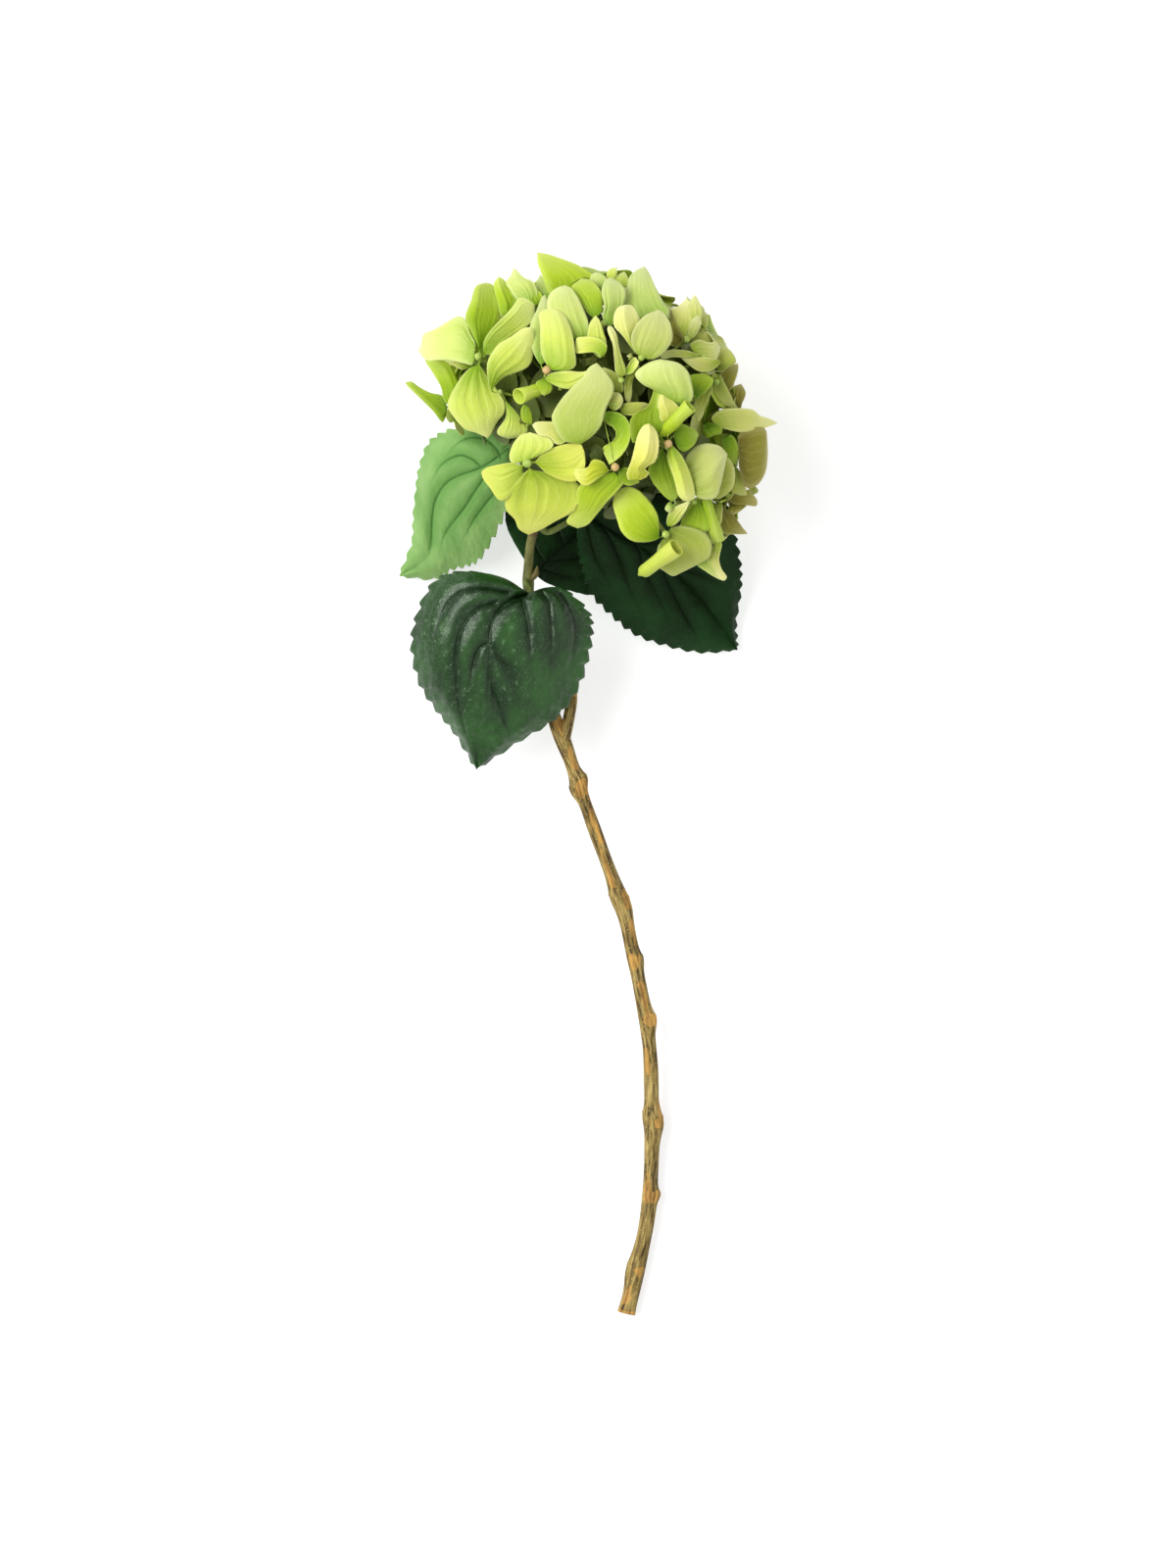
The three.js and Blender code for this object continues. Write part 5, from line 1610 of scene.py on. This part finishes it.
              [(64.7, 15), (67.3, 9.5)], OLIVE, 3, 1),
        Drawn((57, 17, 103), (51.5, -3, 106), [(51.7, 11), (50, 4)], [(58.3, 12.5), (55.5, 5.5), (53.7, 0)],
              OLIVE, 2, 1),
        Drawn((62.5, 14, 90), (70.3, 24.7, 82), [(61.3, 19), (66, 23.7)],
              [(66.7, 12.3), (69.3, 17.5), (70.5, 22)], BROWN, 2, 1),
        Drawn((70.3, 3.5, 82), (72, 15.2, 74), [(67.2, 9.5), (66.1, 12.7), (69, 14.3)],
              [(72.4, 6.5), (74.1, 11)], BROWN, 1, 1),
    ),
    # The pointed sepal far right, over the big brownish ones.
    Floret.shown(
        (61, -7, 92), 1.5,
        Drawn((60, -4, 97), (89, -3, 76),
              [(58, -0.5), (62, 3), (68, 3.9), (77, 3.2), (80.5, 0.4), (84.5, -0.8)],
              [(65, -6), (72, -7.4), (79, -6.7), (84, -5)], CREAM, 3, 2, 1),
        Drawn((70.5, -16, 88), (84.4, -18, 71), [(70.5, -9), (76, -5.5), (82.9, -5.5), (84.1, -11)],
              [(71, -24), (74, -33.4), (79.6, -32), (83.3, -26)], BROWN, 4, 3),
        Drawn((63, -10, 92), (70, -23.5, 86), [(68, -9), (70.7, -16)], [(64, -17), (66.6, -21)],
              GREEN, 2, 1),
        Drawn((56, -3, 99), (60, -8, 95), [(54, -7), (56, -10)], [(62, -4), (63, -7)], GREEN),
    ),
    Floret.shown(
        (65.5, -37, 81), 1.5,
        Drawn((64, -43, 80), (74.8, -55.1, 70), [(67.5, -45.4), (70.5, -49.4), (73, -52.7)],
              [(61.3, -49), (63, -54.7), (69, -55.2)], BROWN, 1, 1, pleat=0.4),
        Drawn((65, -38, 82), (79.6, -40, 72), [(69, -36.4), (74.5, -34.4), (78, -37.2)],
              [(69, -41.2), (74, -41.7), (78.7, -42.1)], BROWN, 2, -1),
        Drawn((69, -24, 88), (74.5, -37, 78), [(71.7, -27), (74, -33)],
              [(68.8, -30), (66.8, -35), (71, -36.9)], OLIVE, 1, 1),
        Drawn((66.5, -41, 79), (68, -46.6, 75), [(74.3, -41.5), (72, -44)], [(65.7, -44)], BROWN),
    ),
    # The floret at the bottom, with a roll that shows its open end.
    Floret.shown(
        (36.4, -55, 101), 1.8,
        Drawn((33.5, -57, 100.5), (12.6, -36.7, 107),
              [(28.5, -58.8), (21, -58.5), (16, -54.5), (13.6, -48), (11.8, -41.5)],
              [(33.3, -52), (32.6, -46), (28.7, -39.5), (23, -34.2), (17.3, -33.2)], FRESH, 4, 2, -1),
        Drawn((36.5, -57, 99), (46, -70.9, 88),
              [(33, -61), (32.4, -69.5), (36, -72.7), (40, -74.9), (43.5, -72.8)],
              [(40, -51.8), (49, -52.1), (55.6, -55.1), (58.2, -60.5), (56.7, -66.6), (50.3, -69)],
              OLIVE, 4, 2, -2),
        Rolled((24.6, -74, 94), (41.4, -61.3, 110), 2.6, 3.9, LEMON, 330),
    ),
    Floret.shown(
        (50, -40, 101), 1.2,
        Drawn((38.5, -51.3, 102), (48.1, -39.3, 106), [(37, -48.5), (39.3, -43.2), (43.5, -41.3)],
              [(42, -50), (45.8, -44.5)], CREAM, 1, 1),
        Drawn((51.5, -39, 102), (49, -53.6, 94), [(47, -44), (43.5, -50.5)], [(54.5, -44), (57.5, -53)],
              GREEN, 1, 1),
        Rolled((55, -37.5, 102), (61, -58.5, 90), 2.0, 3.0, FRESH, 160),
        Drawn((62, -40, 95), (58, -52, 90), [(58, -42), (56, -50)], [(63, -46), (62, -51)], OLIVE),
    ),
    Floret.shown(
        (59, -57, 92), 1.2,
        Drawn((60.3, -58, 93), (64.4, -76.8, 84), [(58, -63), (55.8, -67.6), (60, -73.6), (62.5, -76.8)],
              [(62.8, -60), (61.5, -67), (62.7, -71.5), (65.1, -75)], CREAM, 2, 1),
        Drawn((57, -67, 91), (62, -76.6, 84), [(53, -67.9), (50.4, -69.1), (57, -73.8)],
              [(58.5, -70), (61.5, -75)], MINT, 1, 0),
    ),
    # The florets low at the far left.
    Floret.shown(
        (-64, 5, 75), 1.4,
        Drawn((-66, 4.5, 75), (-85.8, 15.9, 68), [(-68.3, 9.6), (-74, 11.1), (-79.5, 13.9), (-83, 16.3)],
              [(-67, 0), (-68.6, -2.8), (-73, 2.8), (-79, 8.8), (-84, 13.6)], GREEN, 1, 0, 0, 3, -0.4),
        Drawn((-64, 4, 79), (-74, 26.8, 79), [(-67.8, 8), (-69, 13.5), (-72.5, 20), (-76.5, 26.1)],
              [(-60.5, 9), (-61.5, 17), (-66, 26)], FRESH, 2, 0, 0, 2, -0.3),
        Drawn((-56, 22, 93), (-67.3, 26.3, 88), [(-57, 24.8), (-62, 26.5)], [(-59, 22), (-63, 23.7)],
              CREAM),
    ),
    Floret.shown(
        (12.5, 6, 119), 1.4,
        Drawn((10, 4.5, 119), (15.5, 10.3, 120), [(9.6, 8), (11.3, 10.8), (13.5, 11.3)],
              [(12.5, 2.8), (15.5, 4.8), (16.5, 7.5)], CREAM, 1, 1.5),
        Drawn((13, 10, 117), (7.3, 23.1, 118), [(9, 14), (6, 20)], [(16.5, 12), (16, 17), (12.6, 20.8)],
              OLIVE, 2, 1),
    ),
]


class Draw:
    """A repeatable draw of numbers from -1 to 1.

    Args:
        seed: where it starts.
    """

    FACTOR, SPAN = 16807, 2**31 - 1

    def __init__(self, seed: int) -> None:
        """Keeps the seed."""
        self.seed = seed

    def __call__(self) -> float:
        """The next number."""
        self.seed = self.seed * self.FACTOR % self.SPAN
        return 2 * self.seed / self.SPAN - 1


@dataclass
class Bloom:
    """The mophead: florets that show, florets on an even spiral round its sides and underside, three
    that it rests on, and the branchlets that carry them.

    Args:
        floret_radius: from the bloom's middle to the eyes of the spiral florets, mm.
        sepal_length: of the spiral florets, mm.
        sepal_width: of the spiral florets and those that it rests on, mm.
        spiral_florets: how many the whole sphere would hold.
        spiral_spacing: the smallest distance from their eyes to what shows and to the leaves, mm.
        open_cones: directions that stay open for the stalk and a leaf, with half-angles in degrees.
        pressed: the eyes of the florets that it rests on, x and y, mm.
        pressed_length: of their sepals, mm.
        pressed_rise: how far the ends of those sepals turn up, mm.
        inner_radius: from the middle to the eyes of the inner florets, mm.
        inner_florets: how many the whole sphere would hold.
        inner_size: the length and width of their sepals, mm.
        backing: florets close behind the shown ones, where light would come through, mm.
        backing_size: the length and width of their sepals, mm.
        shaded_above: those above this height lie deep among the shown ones and take the tint of painted
            shade, mm.
        branches: how many branchlets the whole sphere would hold.
        sheet: thickness of a sepal, mm.
        aged: tints of the spiral florets.
        seed: of their draw.
    """

    floret_radius: float = 61
    sepal_length: float = 22
    sepal_width: float = 23
    spiral_florets: int = 46
    spiral_spacing: float = 21
    open_cones: tuple = ((-0.41, -0.84, -0.34, 52), (-0.85, -0.5, 0.05, 30))
    pressed: tuple = ((-24, -6), (22, -14), (2, 26))
    pressed_length: float = 20
    pressed_rise: float = 5
    inner_radius: float = 44
    inner_florets: int = 40
    inner_size: float = 15
    backing: tuple = (
        (52, 37, 82), (38, 33, 80), (34, 22, 92), (53, 23, 84), (61, -27, 74), (-50, 20, 82), (60, 8, 80),
        (0, 54, 84), (25, 47, 86), (66, -10, 66), (-56, 10, 64), (46, -46, 78), (-30, 46, 84), (-36, 0, 92),
        (20, 0, 98), (40, 14, 98), (52, -8, 84), (20, 32, 98), (-8, 40, 98), (58, 20, 70), (-20, -34, 98),
        (58, -44, 72), (66, -34, 66), (44, -26, 96), (62, -37, 60), (66, -46, 60),
        (66, -6, 60), (64, 2, 68),
    )
    backing_size: float = 17
    shaded_above: float = 86
    branches: int = 16
    sheet: float = 0.35
    aged: tuple = (LIME, OLIVE, MINT, GREEN, LIME, CREAM)
    seed: int = 2024

    def spiral_floret(self, direction: Points, draw: Draw) -> Floret:
        """A floret whose four sepals stand evenly round its eye, after a drawn turn.

        Args:
            direction: from the bloom's middle, and the way that it looks.
            draw: gives its turn, size and height.

        Returns:
            The floret.
        """
        first = unit(np.cross([-direction[1], direction[0], 0.3], direction))
        second = np.cross(direction, first)
        turn = 45 * draw()
        size = 1 + 0.12 * draw()
        eye = BLOOM_MIDDLE + direction * (self.floret_radius + 3 * draw())
        sepals = []
        for i, lift in enumerate((6, -4, 3, -6)):
            angle = math.radians(turn + 90 * i + 8 * draw())
            reach = self.sepal_length * size * (first * math.cos(angle) + second * math.sin(angle))
            tip = eye + direction * (lift - 1) + reach
            tint = self.aged[int(len(self.aged) * chance(*eye))]
            sepals.append(Sepal(tip, self.sepal_width * size, 3, 4 * lift, tint, 0.5 * chance(*tip)))
        return Floret(eye, direction, sepals)

    def directions(self, count: int, taken: Points, spacing: float) -> list[Points]:
        """Even directions round the bloom that keep clear of the stalk, the leaves and other eyes.

        Args:
            count: how many the whole sphere would hold.
            taken: points to keep away from, mm.
            spacing: the smallest distance to them, mm. 0 keeps clear of the open cones alone.

        Returns:
            The directions.
        """
        found = []
        for i in range(count):
            height = 1 - 2 * (i + 0.5) / count
            turn = i * math.pi * (3 - math.sqrt(5))
            level = math.sqrt(1 - height**2)
            direction = np.array([level * math.cos(turn), level * math.sin(turn), height])
            eye = BLOOM_MIDDLE + direction * self.floret_radius
            clear = spacing == 0 or np.linalg.norm(taken - eye, axis=1).min() > spacing
            outside = all(
                direction.dot(unit(np.array(cone))) < math.cos(math.radians(half_angle))
                for *cone, half_angle in self.open_cones
            )
            if clear and outside:
                found.append(direction)
        return found

    def pressed_floret(self, index: int) -> Floret:
        """A floret that lies face down on the surface, with the ends of its sepals turned up off it.

        Args:
            index: which of the pressed florets.

        Returns:
            The floret.
        """
        x, y = self.pressed[index]
        eye = np.array([x, y, FLOOR_GAP])
        sepals = []
        for angle in (0, 90, 180, 270):
            way = math.radians(angle + 30 * index + 20)
            reach = self.pressed_length * np.array([math.cos(way), math.sin(way), 0])
            tip = eye + reach + UP * self.pressed_rise
            sepals.append(Sepal(tip, self.sepal_width, self.pressed_rise / 2, -8, GREEN, 0.2, ruffle=0.2))
        return Floret(eye, -UP, sepals, floor=FLOOR_GAP, bead=0.4)

    def inner_floret(
        self, direction: Points, radius: float, size: float, tints: tuple[Tint, Tint]
    ) -> Floret:
        """A floret between the outer ones and the branchlets, in the tints that it is given, mostly painted
        shade.

        Args:
            direction: from the bloom's middle, and the way that it looks.
            radius: how far it is from the middle, mm.
            size: the length and width of its sepals, mm.
            tints: the colours of its odd and its even sepals.

        Returns:
            The floret.
        """
        first = unit(np.cross(direction, [0.3, 0.2, 1.0]))
        second = np.cross(direction, first)
        eye = BLOOM_MIDDLE + direction * radius
        start = 360 * chance(*direction)
        sepals = []
        for i in range(4):
            angle = math.radians(start + 90 * i)
            reach = size * (first * math.cos(angle) + second * math.sin(angle))
            tip = eye + reach + direction * (5 * chance(i, *direction) - 1)
            sepals.append(Sepal(tip, size, 2, 16, tints[i % 2], 0.4, mesh_rows=17, mesh_columns=11))
        return Floret(eye, direction, sepals, bead=1.2)

    def build_sepals(self, florets: list[Floret]) -> None:
        """Makes all sepals, one piece for each tint.

        Args:
            florets: all florets.
        """
        skins = {tint: Skin() for tint in Tint}
        for floret in florets:
            for sepal in floret.sepals:
                sepal.lay(skins[sepal.tint], floret.eye, floret.facing, floret.floor)
        for floret in SHOWN_FLORETS:
            for sepal in floret.drawn:
                sepal.lay(skins[sepal.tint], np.array(floret.shows, float))
        for tint, skin in skins.items():
            skin.piece(f"sepals_{tint.name.lower()}", tint.value, "bloom", "sepal", self.sheet)

    def build_eyes(self, florets: list[Floret]) -> None:
        """Makes the unopened flower in the middle of each floret: a bead with four low lobes.

        Args:
            florets: all florets.
        """
        skin = Skin()
        sides = 20
        share = np.linspace(0.06, 0.97, 13)
        lobes = 1 + 0.07 * np.cos(4 * ring_angles(sides))[None, :] * share[:, None]
        for floret in florets:
            seed = chance(*floret.eye)
            tilt = unit(floret.facing + 0.25 * np.array([seed - 0.5, 0.5 - chance(seed, 3), 0]))
            line = floret.eye + np.outer((1.9 * share - 0.45) * floret.bead, tilt)
            radius = floret.bead * np.sqrt(np.clip(1 - (2 * share - 1) ** 2, 0, 1))
            place = np.array([0.85 * floret.warm, 0, 0])
            flat = straightened(share * 4, radius, sides, 90 * seed)
            skin.add(tube(line, radius[:, None] * lobes, sides), place, flat, rod=True)
        skin.piece("flower_eyes", EYE_SKIN, "bloom", "sepal")

    def build_branchlets(self, florets: list[Floret]) -> None:
        """Makes the branchlets, and a thin pedicel from one of them to the back of each floret.

        Args:
            florets: all florets.
        """
        ways = self.directions(self.branches, np.zeros((1, 3)), 0)
        skin = Skin()
        stalk_top = np.array([-12, -22, 60.0])
        share = np.linspace(0, 1, 24)
        for i, way in enumerate(ways):
            line, distance = Line([stalk_top, BLOOM_MIDDLE + 8 * way, BLOOM_MIDDLE + 27 * way]).even(share)
            skin.add_rod(line, distance, np.linspace(1.9, 1.2, 24), 12, FAINT_TINGE, 20 * i)
        skin.piece("branchlets", BRANCHLET_SKIN, "bloom", "green_stem")
        skin = Skin()
        share = np.linspace(0, 1, 26)
        for floret in florets:
            out = unit(floret.eye - BLOOM_MIDDLE)
            way = max(ways, key=lambda w: w.dot(out))
            start = BLOOM_MIDDLE + way * (16 + 11 * chance(*floret.eye))
            bend = BLOOM_MIDDLE + 0.55 * (floret.eye - BLOOM_MIDDLE) + 3 * way
            neck = floret.eye - floret.facing * min(5.0, np.linalg.norm(floret.eye - bend) / 3)
            neck[2] = max(neck[2], 1.2)
            line, distance = Line([start, bend, neck, floret.eye]).even(share)
            radius = np.interp(share, [0, 0.5, 0.85, 1], [0.95, 0.75, 0.75, 1.2])
            line[:, 2] = np.maximum(line[:, 2], radius)
            skin.add_rod(line, distance, radius, 10, FAINT_TINGE, 70 * chance(*start))
        skin.piece("pedicels", PEDICEL_SKIN, "bloom", "green_stem")

    def build(self) -> None:
        """Makes the whole bloom."""
        pressed = [self.pressed_floret(i) for i in range(len(self.pressed))]
        eyes = [floret.eye for floret in (*SHOWN_FLORETS, *pressed)]
        # A few places on each leaf, which the spiral florets keep clear of.
        u, v = np.array([0, 0.2, 0.4, 0.6]), np.array([-0.6, 0, 0.6])
        blades = [leaf.surface(u, v)[0].reshape(-1, 3) for leaf in LEAVES]
        draw = Draw(self.seed)
        spots = [
            seen_at([sepal.claw, sepal.tip]).mean(0) for floret in SHOWN_FLORETS for sepal in floret.drawn
        ]
        ways = self.directions(self.spiral_florets, np.vstack([eyes, spots, *blades]), self.spiral_spacing)
        spiral = [self.spiral_floret(way, draw) for way in ways]
        # The inner florets all take the tint of painted shade, which darkens the gaps between the outer ones.
        inner = [
            self.inner_floret(way, self.inner_radius, self.inner_size, (PAINTED_SHADE, PAINTED_SHADE))
            for way in self.directions(self.inner_florets, np.zeros((1, 3)), 0)
        ]
        for place in self.backing:
            run = np.array(place) - BLOOM_MIDDLE
            # Backing florets that lie deep among the shown ones take the tint of painted shade too.
            tints = (PAINTED_SHADE, PAINTED_SHADE) if place[2] > self.shaded_above else (OLIVE, GREEN)
            inner.append(self.inner_floret(unit(run), np.linalg.norm(run), self.backing_size, tints))
        florets = [*SHOWN_FLORETS, *spiral, *pressed, *inner]
        log.info("florets: %d shown, %d spiral, %d inner", len(SHOWN_FLORETS), len(spiral), len(inner))
        self.build_sepals(florets)
        self.build_eyes(florets)
        self.build_branchlets(florets)


# ---------------------------------------------------------------- studio


@dataclass
class Studio:
    """A pale surface, soft light from the upper left, and a camera that looks straight down.

    Args:
        camera_height: above the surface, m.
        frame_height: how much the picture shows from top to bottom, m.
        camera_place: the camera's x and y, m.
        sensor_width: of the camera, mm.
        floor_reach: from the middle of the surface to its edges, m.
        sky: strength of the even light from all round.
    """

    camera_height: float = LENS_HEIGHT / 1000
    frame_height: float = 0.7366
    camera_place: tuple = (0.00053, 0.0022)
    sensor_width: float = 36
    floor_reach: float = 4.0
    sky: float = 0.5

    def light(self, name: str, source: tuple, strength: float, spread: float) -> None:
        """Adds an even light, as from a wide soft box far away.

        Args:
            name: its name.
            source: the direction that it comes from.
            strength: on a surface that faces it, W/m2.
            spread: the angle that the soft box takes up, degrees.
        """
        data = bpy.data.lights.new(name, "SUN")
        data.energy = strength
        data.angle = math.radians(spread)
        made = bpy.data.objects.new(name, data)
        made.rotation_euler = Vector(source).to_track_quat("Z", "Y").to_euler()
        bpy.context.scene.collection.objects.link(made)

    def build(self) -> None:
        """Makes the surface, the lights and the camera."""
        scene = bpy.context.scene
        mesh = bpy.data.meshes.new("studio_floor")
        side = self.floor_reach
        corners = [(-side, -side, 0), (side, -side, 0), (side, side, 0), (-side, side, 0)]
        mesh.from_pydata(corners, [], [(0, 1, 2, 3)])
        mesh.materials.append(StudioPaper("studio_paper").material())
        floor = bpy.data.objects.new("studio_floor", mesh)
        scene.collection.objects.link(floor)
        world = bpy.data.worlds.new("pale_studio")
        world.use_nodes = True
        backdrop = world.node_tree.nodes["Background"]
        backdrop.inputs["Color"].default_value = (1.0, 1.0, 1.0, 1.0)
        backdrop.inputs["Strength"].default_value = self.sky
        scene.world = world
        self.light("key", (-0.8, 0.25, 1.0), 2.8, 44)
        self.light("fill", (0.7, -0.3, 1.0), 0.4, 80)
        scene.view_settings.view_transform = "Standard"
        data = bpy.data.cameras.new("camera")
        data.sensor_width = self.sensor_width
        data.lens = self.sensor_width * self.camera_height / self.frame_height
        camera = bpy.data.objects.new("camera", data)
        camera.location = (*self.camera_place, self.camera_height)
        scene.collection.objects.link(camera)
        scene.camera = camera


def main() -> None:
    """Builds the flower piece by piece."""
    logging.basicConfig(level=logging.INFO, format="%(name)s: %(message)s")
    Studio().build()
    Cane().build()
    Shoot().build()
    for leaf in LEAVES:
        leaf.build()
    Bloom().build()


if __name__ == "__main__":
    main()
